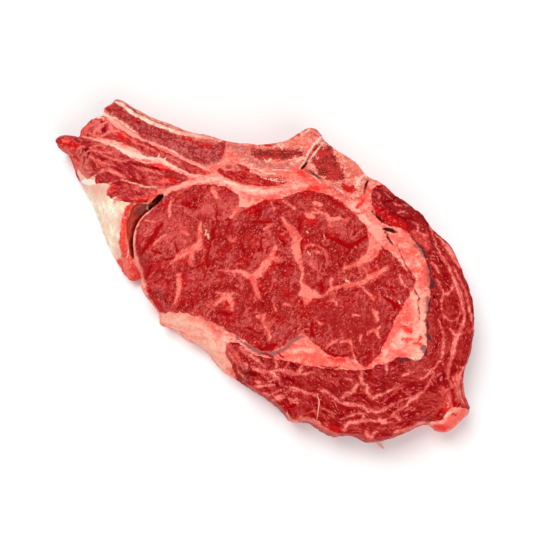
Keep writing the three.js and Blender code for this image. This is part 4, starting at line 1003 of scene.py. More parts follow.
class Steak:
    """The fields that every piece shares: where it lies, how high the top is, what marks it."""

    def __init__(self, grid: Grid) -> None:
        """Works out the depths, the claims, the marks and the top face, in that order.

        Args:
            grid: The grid of all the fields.
        """
        self.grid = grid
        xs, ys = grid.axes()
        self.x, self.y = np.meshgrid(xs, ys)
        self.broad, self.fine = Relief(BROAD_SEED), Relief(FINE_SEED)
        self.edge = self._depth(STEAK_EDGE, 0.0)
        self.claims = self._claims()
        self.marks = {layer: self.strokes(strokes) for layer, strokes in STROKES.items()}
        self.top = self._top()
        rise_y, rise_x = np.gradient(self.edge, grid.step)
        steep = np.maximum(np.hypot(rise_x, rise_y), 1e-6)
        self.out_x, self.out_y = -rise_x / steep, -rise_y / steep

    def _warped(self, rows: slice, columns: slice, amount: float) -> tuple[Array, Array]:
        """The places of a window, nudged so that drawn lines turn ragged.

        Args:
            rows: Rows of the window.
            columns: Columns of the window.
            amount: How far the places are nudged.

        Returns:
            The places along and across the steak.
        """
        x, y = self.x[rows, columns], self.y[rows, columns]
        if amount == 0:
            return x, y
        nudge_x = self.fine.layers(x, y, FRAY_SIZE)
        nudge_y = self.fine.layers(x + 57, y - 31, FRAY_SIZE)
        return x + amount * nudge_x, y + amount * nudge_y

    def _depth(self, points: Points, ragged: float) -> Array:
        """Depth inside an outline, over the whole grid.

        Args:
            points: Points of the outline.
            ragged: How far its border is frayed; 0 also keeps depths far outside it.

        Returns:
            The depth at each grid point.
        """
        outline = smooth_curve(np.array(points), True, OUTLINE_SPACING)
        rows, columns = self.grid.window(outline, FIELD_LIMIT if ragged else EDGE_MARGIN)
        found = np.full(self.x.shape, -FIELD_LIMIT)
        found[rows, columns] = depth_inside(outline, *self._warped(rows, columns, ragged))
        return found

    def _claims(self) -> dict[str, Array]:
        """Shares the steak out among its pieces, where the first ones named come first.

        Returns:
            The depth inside each piece, by its name.
        """
        order = {
            "chine_bone": (CHINE_BONE,),
            "feather_bone": (FEATHER_BONE,),
            "rib_bone": (RIB_BONE,),
            "eye_muscle": (EYE_MUSCLE,),
            "cap_muscle": (CAP_MUSCLE,),
            "flank_meat": (FLANK_MEAT,),
            "rib_meat": (RIB_MEAT,),
            "lower_flank_meat": (FLANK_LOBE, LOWER_FLANK_LOBE),
            "seam_meat": (SEAM_MEAT,),
            "pocket": (POCKET,),
        }
        claims, taken = {}, np.full(self.x.shape, -FIELD_LIMIT)
        for name, outlines in order.items():
            ragged = PIECE_FRAY.get(name, OTHER_FRAY)
            depth = np.maximum.reduce([self._depth(points, ragged) for points in outlines])
            claims[name] = np.minimum(np.minimum(depth, self.edge), -taken)
            taken = np.maximum(taken, depth)
        fat = np.minimum(self.edge, -taken)
        flap = self._depth(FLAP_SIDE, PIECE_FRAY["flap_fat"])
        claims["flap_fat"] = np.minimum(fat, flap)
        claims["seam_fat"] = np.minimum(fat, -flap)
        return claims

    def strokes(self, strokes: tuple[Stroke, ...]) -> Array:
        """Depth inside a set of brush strokes, with ragged borders.

        Args:
            strokes: The strokes.

        Returns:
            The depth at each grid point.
        """
        found = np.full(self.x.shape, -FIELD_LIMIT)
        for stroke in strokes:
            path = smooth_curve(np.array(stroke), False, STROKE_SPACING)
            rows, columns = self.grid.window(path, FIELD_LIMIT)
            depth = depth_in_stroke(path, *self._warped(rows, columns, STROKE_FRAY))
            found[rows, columns] = np.maximum(found[rows, columns], depth)
        return found

    def _slab_height(self) -> Array:
        """Height of the top face without its fine relief.

        Returns:
            The height at each grid point.
        """
        height = np.full(self.x.shape, THICKNESS)
        for swell in SWELLS:
            turn = math.radians(swell.turn)
            dx, dy = self.x - swell.x, self.y - swell.y
            along = dx * math.cos(turn) + dy * math.sin(turn)
            across = dy * math.cos(turn) - dx * math.sin(turn)
            reach = (along / swell.length) ** 2 + (across / swell.width) ** 2
            height += swell.height * np.exp(-reach)
        for bank in BANKS:
            path = np.array([(*bank.start, 0.0), (*bank.end, 0.0)])
            away = -depth_in_stroke(path, self.x, self.y)
            near = 1 - smooth_step(bank.reach, 1.8 * bank.reach, away)
            slope = np.clip(1 - self.edge / bank.width, 0, 1.2)
            height -= bank.drop * near * slope**1.4
        height -= EDGE_FALL * np.clip(1 - self.edge / EDGE_REACH, 0, 1.5) ** 2
        return height - LIP_DROP * np.clip(1 - self.edge / LIP_REACH, 0, 1.3) ** 2

    def _top(self) -> Array:
        """Height of the top face, with the grain, seams, veins and clefts of the cut.

        Returns:
            The height at each grid point.
        """
        x, y, claims, marks = self.x, self.y, self.claims, self.marks
        lean = np.maximum.reduce([claims[name] for name in LEAN])
        bone = np.maximum.reduce([claims[name] for name in BONES])
        on_lean, on_bone = smooth_step(0, 1.2, lean), smooth_step(-0.2, 0.6, bone)
        height = self._slab_height()
        height += WAVE * self.broad.layers(x, y, 13.0) * (1 - 0.7 * on_bone)
        height += RIPPLE * self.fine.layers(x, y, 4.6, 2)
        bent_x = x + 1.6 * self.broad.layers(x, y, 5.0, 2)
        bent_y = y + 1.6 * self.broad.layers(x + 40, y + 80, 5.0, 2)
        grain = self.fine.layers(bent_x, bent_y, 1.9, 2)
        folds = smooth_step(0.0, 0.3, np.abs(self.broad.layers(bent_x, bent_y, 3.6, 2)))
        height += (GRAIN * grain + FOLD * folds) * on_lean + FAT_GRAIN * grain * (1 - on_lean)
        height += LEAN_STEP * smooth_step(0, 3.5, lean)
        seam = np.exp(-((np.minimum(np.abs(lean), np.abs(bone)) / 0.7) ** 2))
        height -= SEAM_GROOVE * seam * (0.6 + 0.8 * self.broad.layers(x, y, 9.0))
        height += VEIN_RIDGE * smooth_step(-0.4, 0.8, marks[Layer.VEIN]) * on_lean
        height -= BONE_STEP * on_bone
        height += SKIN_RIDGE * smooth_step(-0.4, 0.6, marks[Layer.PALE_AND_HIGHLIGHT])
        height += LOBE_RIDGE * smooth_step(-0.8, 1.8, marks[Layer.PLUM])
        pits = PIT_SPREAD * np.abs(self.fine.layers(x, y, 1.5, 2))
        height -= (PIT + pits) * smooth_step(-0.6, 0.6, marks[Layer.MARROW])
        crack = marks[Layer.CRACK_SHADOW]
        height -= SPLIT * smooth_step(-0.6, 0.3, crack) + SPLIT_SLOPE * np.clip(crack, 0, 2)
        height -= CREASE_GROOVE * smooth_step(-1.2, 0.8, marks[Layer.CREASE])
        brim = np.maximum(-claims["pocket"], 0)
        flap = smooth_step(-1.5, 0.5, claims["flap_fat"])
        return height - (FLAP_FALL * flap + BRIM_FALL) * np.exp(-brim / BRIM_REACH)

    def level(self, x: Array, y: Array, height: Array) -> Array:
        """Places of the slab's skin, moved in or out as its outer wall bulges.

        Args:
            x: Place along the steak, before the bulge.
            y: Place across the steak.
            height: Height above the underside.

        Returns:
            One row for each place: x, y and z.
        """
        depth = np.maximum(self.grid.read(self.edge, x, y), 0)
        inset = np.interp(height, WALL_HEIGHTS, WALL_INSETS)
        rough = WALL_WAVE * self.broad.layers(x + 0.9 * height, y - 0.7 * height, 8.0)
        rough += WALL_RIPPLE * self.fine.layers(x - 0.8 * height, y + 0.9 * height, 2.2, 2)
        shift = rough * np.exp(-depth / 2.5) - inset * np.exp(-depth / BULGE_REACH)
        out_x, out_y = self.grid.read(self.out_x, x, y), self.grid.read(self.out_y, x, y)
        return np.stack([x + shift * out_x, y + shift * out_y, height], axis=1)

    def flow(self, course: Flow, turn: float, stretch: float, places: Array) -> Array:
        """Coordinates that run with the grain of a piece.

        Args:
            course: How the grain runs.
            turn: Direction of a straight grain, in degrees.
            stretch: How much longer the grain is than it is wide.
            places: One row for each place: x, y and z.

        Returns:
            One row for each place: across the grain, along it, and the height.
        """
        x, y, z = places.T
        if course is Flow.ROUND:
            angle = np.arctan2(y - FLOW_CENTRE[1], x - FLOW_CENTRE[0])
            along = angle * FLOW_RADIUS / stretch
            return np.stack([self.grid.read(self.edge, x, y), along, z], axis=1)
        cos, sin = math.cos(math.radians(turn)), math.sin(math.radians(turn))
        return np.stack([y * cos - x * sin, (x * cos + y * sin) / stretch, z], axis=1)


# ---- From a field to a closed body ------------------------------------------------------


@dataclass
class FlatPatch:
    """A piece as seen from above: its places, its triangles and its directed rim."""

    places: Array
    triangles: Array
    rim: Array


def flat_patch(grid: Grid, depth: Array) -> FlatPatch:
    """Cuts the part of the grid where a field is positive, along its zero line.

    Args:
        grid: The grid of the field.
        depth: The field, positive inside the piece.

    Returns:
        The patch, with its triangles anticlockwise and its rim running the same way.
    """
    rows, columns = depth.shape
    inside = depth > 0
    nodes = np.arange(rows * columns).reshape(rows, columns)
    corner_ids = [nodes[:-1, :-1], nodes[:-1, 1:], nodes[1:, 1:], nodes[1:, :-1]]
    across, upright = rows * columns, 2 * rows * columns
    edge_ids = [
        corner_ids[0] + across, corner_ids[1] + upright,
        corner_ids[3] + across, corner_ids[0] + upright,
    ]
    corner_in = [inside[:-1, :-1], inside[:-1, 1:], inside[1:, 1:], inside[1:, :-1]]
    code = sum(flags.astype(int) << bit for bit, flags in enumerate(corner_in))
    triangles, rim = [], []
    for case in range(1, 16):
        here = code == case
        if not here.any():
            continue
        flags = [bool(case >> bit & 1) for bit in range(4)]
        loop = []
        for bit in range(4):
            if flags[bit]:
                loop.append((corner_ids[bit][here], False))
            if flags[bit] != flags[(bit + 1) % 4]:
                loop.append((edge_ids[bit][here], True))
        for step in range(1, len(loop) - 1):
            triangles.append(np.stack([loop[0][0], loop[step][0], loop[step + 1][0]], axis=1))
        for (start, cut), (end, next_cut) in zip(loop, loop[1:] + loop[:1]):
            if cut and next_cut:
                rim.append(np.stack([start, end], axis=1))
    corners, edges = np.vstack(triangles), np.vstack(rim)
    used, compact = np.unique(corners, return_inverse=True)
    kind, node = used // across, used % across
    row, column = node // columns, node % columns
    other = (row + (kind == 2)) * columns + column + (kind == 1)
    flat = depth.ravel()
    share = np.where(kind > 0, flat[node] / np.where(kind > 0, flat[node] - flat[other], 1), 0)
    share = np.where(kind > 0, np.clip(share, 0.06, 0.94), 0)
    places = np.stack([
        (column + share * (kind == 1)) * grid.step - grid.half_length,
        (row + share * (kind == 2)) * grid.step - grid.half_width,
    ], axis=1)
    return FlatPatch(places, compact.reshape(-1, 3), np.searchsorted(used, edges))


def new_mesh(name: str, places: Array, triangles: Array) -> bpy.types.Object:
    """Makes a smooth mesh object.

    Args:
        name: Name of the object and its mesh.
        places: One row for each point, in millimetres.
        triangles: One row of three point numbers for each triangle.

    Returns:
        The object, in the scene.
    """
    mesh = bpy.data.meshes.new(name)
    mesh.vertices.add(len(places))
    mesh.vertices.foreach_set("co", (places * MM).astype(np.float32).ravel())
    mesh.loops.add(3 * len(triangles))
    mesh.loops.foreach_set("vertex_index", triangles.astype(np.int32).ravel())
    mesh.polygons.add(len(triangles))
    mesh.polygons.foreach_set("loop_start", np.arange(0, 3 * len(triangles), 3, np.int32))
    mesh.update(calc_edges=True)
    mesh.shade_smooth()
    made = bpy.data.objects.new(name, mesh)
    bpy.context.scene.collection.objects.link(made)
    return made


@dataclass(frozen=True)
class Cut:
    """One piece cut from the slab.

    Args:
        name: Name of the piece.
        claim: Which of the steak's claims it fills.
        least: Parts of it that are nowhere deeper than this are left out.
        course: How its grain runs.
        turn: Direction of a straight grain, in degrees.
        stretch: How much longer the grain is than it is wide.
    """

    name: str
    claim: str
    least: float = 1.5
    course: Flow = Flow.STRAIGHT
    turn: float = 0.0
    stretch: float = 1.6

    def heights(self, steak: Steak, x: Array, y: Array) -> Array:
        """Height of the top of this piece."""
        return steak.grid.read(steak.top, x, y)

    def build(self, steak: Steak) -> bpy.types.Object:
        """Makes the closed body of this piece, with its marks and the flow of its grain.

        Args:
            steak: The fields of the steak.

        Returns:
            The new object, in the scene.
        """
        claim = steak.claims[self.claim]
        kept = deep_parts(claim, self.least)
        patch = flat_patch(steak.grid, np.where(kept, claim, np.minimum(claim, -1e-3)))
        x, y = patch.places.T
        sunk = steak.level(x, y, self.heights(steak, x, y))
        top = self.heights(steak, sunk[:, 0], sunk[:, 1])
        rim, rank = np.unique(patch.rim, return_inverse=True)
        count = len(x)
        levels = (1 + np.cos(np.pi * np.arange(1, WALL_RINGS) / WALL_RINGS)) / 2
        rings = [steak.level(x[rim], y[rim], share * top[rim]) for share in levels]
        places = np.vstack([steak.level(x, y, top), steak.level(x, y, 0 * top), *rings])
        walls = self._walls(rim, rank.reshape(-1, 2), count)
        triangles = np.vstack([patch.triangles, patch.triangles[:, ::-1] + count, *walls])
        made = new_mesh(self.name, places, triangles)
        flat = np.concatenate([patch.places, patch.places, *[patch.places[rim]] * len(rings)])
        self._mark(made, steak, places, flat)
        inner = steak.grid.read(steak.edge, *flat.T) > LIP_REACH
        self._sharpen(made.data, inner, count)
        return made

    def _walls(self, rim: Array, rank: Array, count: int) -> list[Array]:
        """Joins the rim of the upper face to that of the lower one.

        Args:
            rim: Numbers of the rim's points in the upper face.
            rank: One row for each edge of the rim: the ranks of its ends among those points.
            count: Number of points in each face, after which those of the rings follow.

        Returns:
            The triangles of the walls, in parts.
        """
        starts = [2 * count + ring * len(rim) for ring in range(WALL_RINGS - 1)]
        hoops = [rim, *(start + np.arange(len(rim)) for start in starts), rim + count]
        walls = []
        for upper, lower in zip(hoops, hoops[1:]):
            upper, lower = upper[rank], lower[rank]
            walls.append(np.stack([upper[:, 1], upper[:, 0], lower[:, 0]], axis=1))
            walls.append(np.stack([upper[:, 1], lower[:, 0], lower[:, 1]], axis=1))
        return walls

    def _mark(self, made: bpy.types.Object, steak: Steak, places: Array, flat: Array) -> None:
        """Writes down how the grain runs and how deep each point lies in the marks.

        Args:
            made: The object.
            steak: The fields of the steak.
            places: Its points.
            flat: The same points as seen from above, before the walls bulge.
        """
        read = steak.grid.read
        self._write(made, "flow", MM * steak.flow(self.course, self.turn, self.stretch, places))
        depths = {Layer.RIM: read(steak.claims[self.claim], *flat.T)}
        down = THICKNESS - places[:, 2]
        stray = steak.broad.layers(flat[:, 0] + down, flat[:, 1] - down, 9.0) * WANDER * down
        for layer, marks in steak.marks.items():
            depths[layer] = read(marks, places[:, 0] + stray, places[:, 1] - stray)
        for layer, depth in depths.items():
            self._write(made, layer.value, np.clip(depth, -FIELD_LIMIT, FIELD_LIMIT))

    def _write(self, made: bpy.types.Object, name: str, values: Array) -> None:
        """Writes numbers or vectors on the points of a mesh.

        Args:
            made: The object.
            name: Name of the attribute.
            values: One value or row for each point.
        """
        kind, key = ("FLOAT", "value") if values.ndim == 1 else ("FLOAT_VECTOR", "vector")
        layer = made.data.attributes.new(name, kind, "POINT")
        layer.data.foreach_set(key, values.astype(np.float32).ravel())

    def _sharpen(self, mesh: bpy.types.Mesh, inner: Array, count: int) -> None:
        """Keeps the seams crisp where a face of the cut meets a hidden wall.

        Args:
            mesh: The mesh of the piece.
            inner: Which of its points lie away from the outer edge.
            count: Number of points in each of its two faces.
        """
        ends = np.empty(2 * len(mesh.edges), np.int32)
        mesh.edges.foreach_get("vertices", ends)
        normals = np.empty(3 * len(mesh.polygons), np.float32)
        mesh.polygons.foreach_get("normal", normals)
        flat = np.abs(normals.reshape(-1, 3)[:, 2]) > 0.5
        loop_edges = np.empty(3 * len(mesh.polygons), np.int32)
        mesh.loops.foreach_get("edge_index", loop_edges)
        per_face = np.repeat(flat, 3)
        level = np.bincount(loop_edges[per_face], minlength=len(mesh.edges))
        steep = np.bincount(loop_edges[~per_face], minlength=len(mesh.edges))
        low = ends.reshape(-1, 2)
        sharp = (level > 0) & (steep > 0) & inner[low].all(axis=1) & (low < 2 * count).all(axis=1)
        flags = mesh.attributes.new("sharp_edge", "BOOLEAN", "EDGE")
        flags.data.foreach_set("value", sharp)


@dataclass(frozen=True)
class SunkenCut(Cut):
    """A piece at the bottom of a hollow, which slopes down to one neighbour.

    Args:
        low: Height of its top at that neighbour.
        high: Height of its top away from it.
        neighbour: Name of the neighbour's claim.
        hole: The deepest place of the hollow.
        hole_reach: Reach of that place.
        hole_depth: How much deeper it is.
    """

    low: float = 15.0
    high: float = 24.6
    neighbour: str = "eye_muscle"
    hole: tuple[float, float] = (-56.5, 34.4)
    hole_reach: float = 4.0
    hole_depth: float = 11.0

    def heights(self, steak: Steak, x: Array, y: Array) -> Array:
        """Height of the top of this piece.

        Args:
            steak: The fields of the steak.
            x: Places along the steak.
            y: Places across it.

        Returns:
            The height at each place.
        """
        away = -steak.grid.read(steak.claims[self.neighbour], x, y)
        slope = self.low + (self.high - self.low) * smooth_step(0.0, 3.6, away)
        near = np.hypot(x - self.hole[0], y - self.hole[1]) / self.hole_reach
        sunk = slope - self.hole_depth * np.exp(-(near**2))
        return sunk + 0.4 * steak.broad.layers(x, y, 4.0)

# ---- Finishes ---------------------------------------------------------------------------

Colour = tuple[int, int, int]


def linear(colour: Colour) -> tuple[float, float, float, float]:
    """Turns a colour into linear light.

    Args:
        colour: Red, green and blue from 0 to 255.

    Returns:
        Red, green, blue and 1, each from 0 to 1.
    """
    shares = (channel / 255 for channel in colour)
    light = [s / 12.92 if s <= 0.04045 else ((s + 0.055) / 1.055) ** 2.4 for s in shares]
    return (*light, 1.0)


class Tree:
    """A short way to write a tree of nodes."""

    def __init__(self, tree: bpy.types.NodeTree) -> None:
        """Takes the tree to write into."""
        self.tree = tree

    def add(self, kind: str, inputs: dict | None = None, **settings: object) -> bpy.types.Node:
        """Adds a node.

        Args:
            kind: Type name of the node.
            inputs: Values or sockets for its inputs, by name or place.
            **settings: Values of its own settings.

        Returns:
            The new node.
        """
        node = self.tree.nodes.new(kind)
        for name, value in settings.items():
            setattr(node, name, value)
        for key, value in (inputs or {}).items():
            if isinstance(value, bpy.types.NodeSocket):
                self.tree.links.new(value, node.inputs[key])
            else:
                node.inputs[key].default_value = value
        return node

    def link(self, source: bpy.types.NodeSocket, target: bpy.types.NodeSocket) -> None:
        """Joins an output to an input."""
        self.tree.links.new(source, target)

    def math(self, operation: str, *values: object) -> bpy.types.NodeSocket:
        """One step of arithmetic on values or sockets."""
        node = self.add("ShaderNodeMath", dict(enumerate(values)), operation=operation)
        return node.outputs[0]

    def rise(self, value: object, low: object, high: object) -> bpy.types.NodeSocket:
        """A smooth rise from 0 to 1 as a value goes from low to high.

        Args:
            value: The value or its socket.
            low: Where the rise starts.
            high: Where it ends, which may be below its start.

        Returns:
            The socket of the result.
        """
        inputs = {"Value": value, "From Min": low, "From Max": high}
        node = self.add("ShaderNodeMapRange", inputs, interpolation_type="SMOOTHSTEP")
        return node.outputs["Result"]

    def noise(self, size: float, detail: float = 2.0, scale: object = None,
              place: object = None) -> bpy.types.NodeSocket:
        """Noise of an even grain.

        Args:
            size: Size of its lumps, in millimetres.
            detail: How many finer layers lie on it.
            scale: A socket that the size is multiplied by, or None.
            place: A socket with the places to read, or None for those of the object.

        Returns:
            The socket of the noise.
        """
        if place is None:
            place = self.add("ShaderNodeTexCoord").outputs["Object"]
        frequency = 1 / (size * MM)
        if scale is not None:
            frequency = self.math("DIVIDE", frequency, scale)
        inputs = {"Vector": place, "Scale": frequency, "Detail": detail}
        return self.add("ShaderNodeTexNoise", inputs).outputs["Fac"]

    def blend(self, share: object, low: object, high: object) -> bpy.types.NodeSocket:
        """A blend of two colours."""
        return self.add("ShaderNodeMix", {0: share, 6: low, 7: high}, data_type="RGBA").outputs[2]


def new_group(name: str, inputs: dict[str, float], outputs: tuple[str, ...]) -> tuple:
    """Starts a shader group with number sockets.

    Args:
        name: Name of the group.
        inputs: Its inputs with their first values.
        outputs: Names of its outputs.

    Returns:
        The tree to write into, its input node and its output node.
    """
    group = bpy.data.node_groups.new(name, "ShaderNodeTree")
    for label, value in inputs.items():
        socket = group.interface.new_socket(label, in_out="INPUT", socket_type="NodeSocketFloat")
        socket.default_value = value
    for label in outputs:
        group.interface.new_socket(label, in_out="OUTPUT", socket_type="NodeSocketFloat")
    tree = Tree(group)
    return tree, tree.add("NodeGroupInput"), tree.add("NodeGroupOutput")


BORDERS = {                     # half width of each mark's soft border, and its raggedness
    Layer.VEIN: (0.42, 2.1),
    Layer.PALE_AND_HIGHLIGHT: (0.35, 1.2),
    Layer.LARD_AND_HIGHLIGHT: (1.1, 3.0),
    Layer.BRIGHT_AND_SHADE: (0.8, 2.8),
    Layer.GREY: (0.5, 2.2),
    Layer.CRACK_SHADOW: (0.3, 0.5),
    Layer.CREASE: (0.35, 0.9),
    Layer.PLUM: (0.8, 2.5),
    Layer.MARROW: (0.7, 5.0),
    Layer.GRISTLE: (1.0, 2.5),
    Layer.ASH: (1.0, 3.5),
    Layer.PALER: (4.0, 4.0),
    Layer.DEEPER: (4.0, 4.0),
    Layer.RIM: (0.2, 1.1),
}


class SharedEffects:
    """The shader groups that all the tissues share."""

    def __init__(self) -> None:
        """Builds the four groups."""
        self.marks = self._marks()
        self.grain = self._grain()
        self.marbling = self._marbling()
        self.film = self._film()

    def _marks(self) -> bpy.types.NodeTree:
        """Turns the depths that a mesh carries into ragged masks.

        Returns:
            The group, with one mask for each layer and one for the halo round the veins.
        """
        names = tuple(layer.value for layer in Layer) + ("halo",)
        tree, given, result = new_group("Marks", {"Ragged": 1.0, "Rim": 0.0}, names)
        rough = tree.math("SUBTRACT", tree.noise(0.9, 3.0), 0.5)
        broad = tree.math("SUBTRACT", tree.noise(3.2, 2.0), 0.5)
        both = tree.math("ADD", rough, tree.math("MULTIPLY", broad, 0.7))
        nudge = tree.math("MULTIPLY", both, given.outputs["Ragged"])
        for layer, (soft, ragged) in BORDERS.items():
            depth = tree.add("ShaderNodeAttribute", attribute_name=layer.value).outputs["Fac"]
            moved = tree.math("ADD", depth, tree.math("MULTIPLY", nudge, ragged))
            if layer is Layer.RIM:
                moved = tree.math("SUBTRACT", moved, given.outputs["Rim"])
            tree.link(tree.rise(moved, -soft, soft), result.inputs[layer.value])
            if layer is Layer.VEIN:
                tree.link(tree.rise(moved, -1.1, 0.2), result.inputs["halo"])
        return tree.tree

    def _grain(self) -> bpy.types.NodeTree:
        """Makes the mottled grain of the cut.

        Returns:
            The group: tone, pale flecks, dark creases, broad blotches and a fine relief.
        """
        outputs = ("Tone", "Fleck", "Crease_shade", "Blotch", "Height")
        tree, given, result = new_group("Grain", {"Size": 1.0}, outputs)
        size = given.outputs["Size"]
        flow = tree.add("ShaderNodeAttribute", attribute_name="flow").outputs["Vector"]
        swirl = tree.add("ShaderNodeTexNoise", {"Vector": flow, "Scale": 1 / (3.5 * MM)})
        bent = tree.add("ShaderNodeVectorMath", {
            0: swirl.outputs["Color"], 1: (2.6 * MM,) * 3, 2: flow}, operation="MULTIPLY_ADD")
        bent = bent.outputs[0]
        coarse = tree.noise(6.5, 2.0, size, flow)
        middle = tree.noise(1.9, 2.0, size, bent)
        fine = tree.noise(0.6, 1.0, size, bent)
        tone = tree.math("MULTIPLY_ADD", middle, 0.9, coarse)
        tone = tree.math("MULTIPLY_ADD", fine, 0.65, tone)
        tree.link(tree.rise(tone, 0.97, 1.58), result.inputs["Tone"])
        fleck = tree.math("MULTIPLY_ADD", coarse, -0.3, tree.noise(0.9, 0.0, size, bent))
        fleck = tree.rise(fleck, 0.53, 0.6)
        tree.link(fleck, result.inputs["Fleck"])
        # Dark lines and pits of the grain, painted as the shade in its small creases.
        crease_shade = None
        for width, spread, low in ((0.05, 3.0, 0.36), (0.03, 7.5, 0.44)):
            line = tree.math("SUBTRACT", tree.noise(spread, 2.0, size, bent), 0.5)
            line = tree.rise(tree.math("ABSOLUTE", line), width, 0.0)
            patch = tree.rise(tree.noise(2.2 * spread, 1.0, size, flow), low, low + 0.14)
            line = tree.math("MULTIPLY", line, patch)
            crease_shade = tree.math("MAXIMUM", crease_shade, line) if crease_shade else line
        pit = tree.math("MULTIPLY", tree.rise(fine, 0.42, 0.3), 0.7)
        crease_shade = tree.math("MAXIMUM", crease_shade, pit)
        tree.link(crease_shade, result.inputs["Crease_shade"])
        tree.link(tree.rise(tree.noise(7.0, 2.0), 0.45, 0.68), result.inputs["Blotch"])
        height = tree.math("MULTIPLY_ADD", fine, 0.35, middle)
        height = tree.math("MULTIPLY_ADD", fleck, 0.15, height)
        height = tree.math("MULTIPLY_ADD", crease_shade, -0.5, height)
        tree.link(height, result.inputs["Height"])
        return tree.tree

    def _marbling(self) -> bpy.types.NodeTree:
        """Makes the threads of fat that are too thin to be drawn one by one.

        Returns:
            The group, with the mask of the threads.
        """
        tree, given, result = new_group("Fine marbling", {"Size": 1.0, "Width": 0.03}, ("Mask",))
        size = given.outputs["Size"]
        flow = tree.add("ShaderNodeAttribute", attribute_name="flow").outputs["Vector"]
        line = tree.noise(5.5, 3.0, size, flow)
        line = tree.math("ABSOLUTE", tree.math("SUBTRACT", line, 0.5))
        patch = tree.rise(tree.noise(9.0, 1.0, size, flow), 0.42, 0.66)
        gap = tree.math("SUBTRACT", line, tree.math("MULTIPLY", patch, given.outputs["Width"]))
        tree.link(tree.rise(gap, 0.008, -0.008), result.inputs["Mask"])
        return tree.tree

    def _film(self) -> bpy.types.NodeTree:
        """Makes patches of wet film.

        Returns:
            The group: how rough the surface is and how much coat lies on it.
        """
        inputs = {"Rough": 0.45, "Wet": 0.5}
        tree, given, result = new_group("Wet film", inputs, ("Roughness", "Coat"))
        patches = tree.rise(tree.noise(4.0, 3.0), 0.4, 0.6)
        wet = tree.math("MULTIPLY", patches, given.outputs["Wet"])
        less = tree.math("MULTIPLY_ADD", wet, -0.4, 1.0)
        tree.link(tree.math("MULTIPLY", given.outputs["Rough"], less), result.inputs["Roughness"])
        tree.link(tree.math("MULTIPLY", wet, 0.035), result.inputs["Coat"])
        return tree.tree


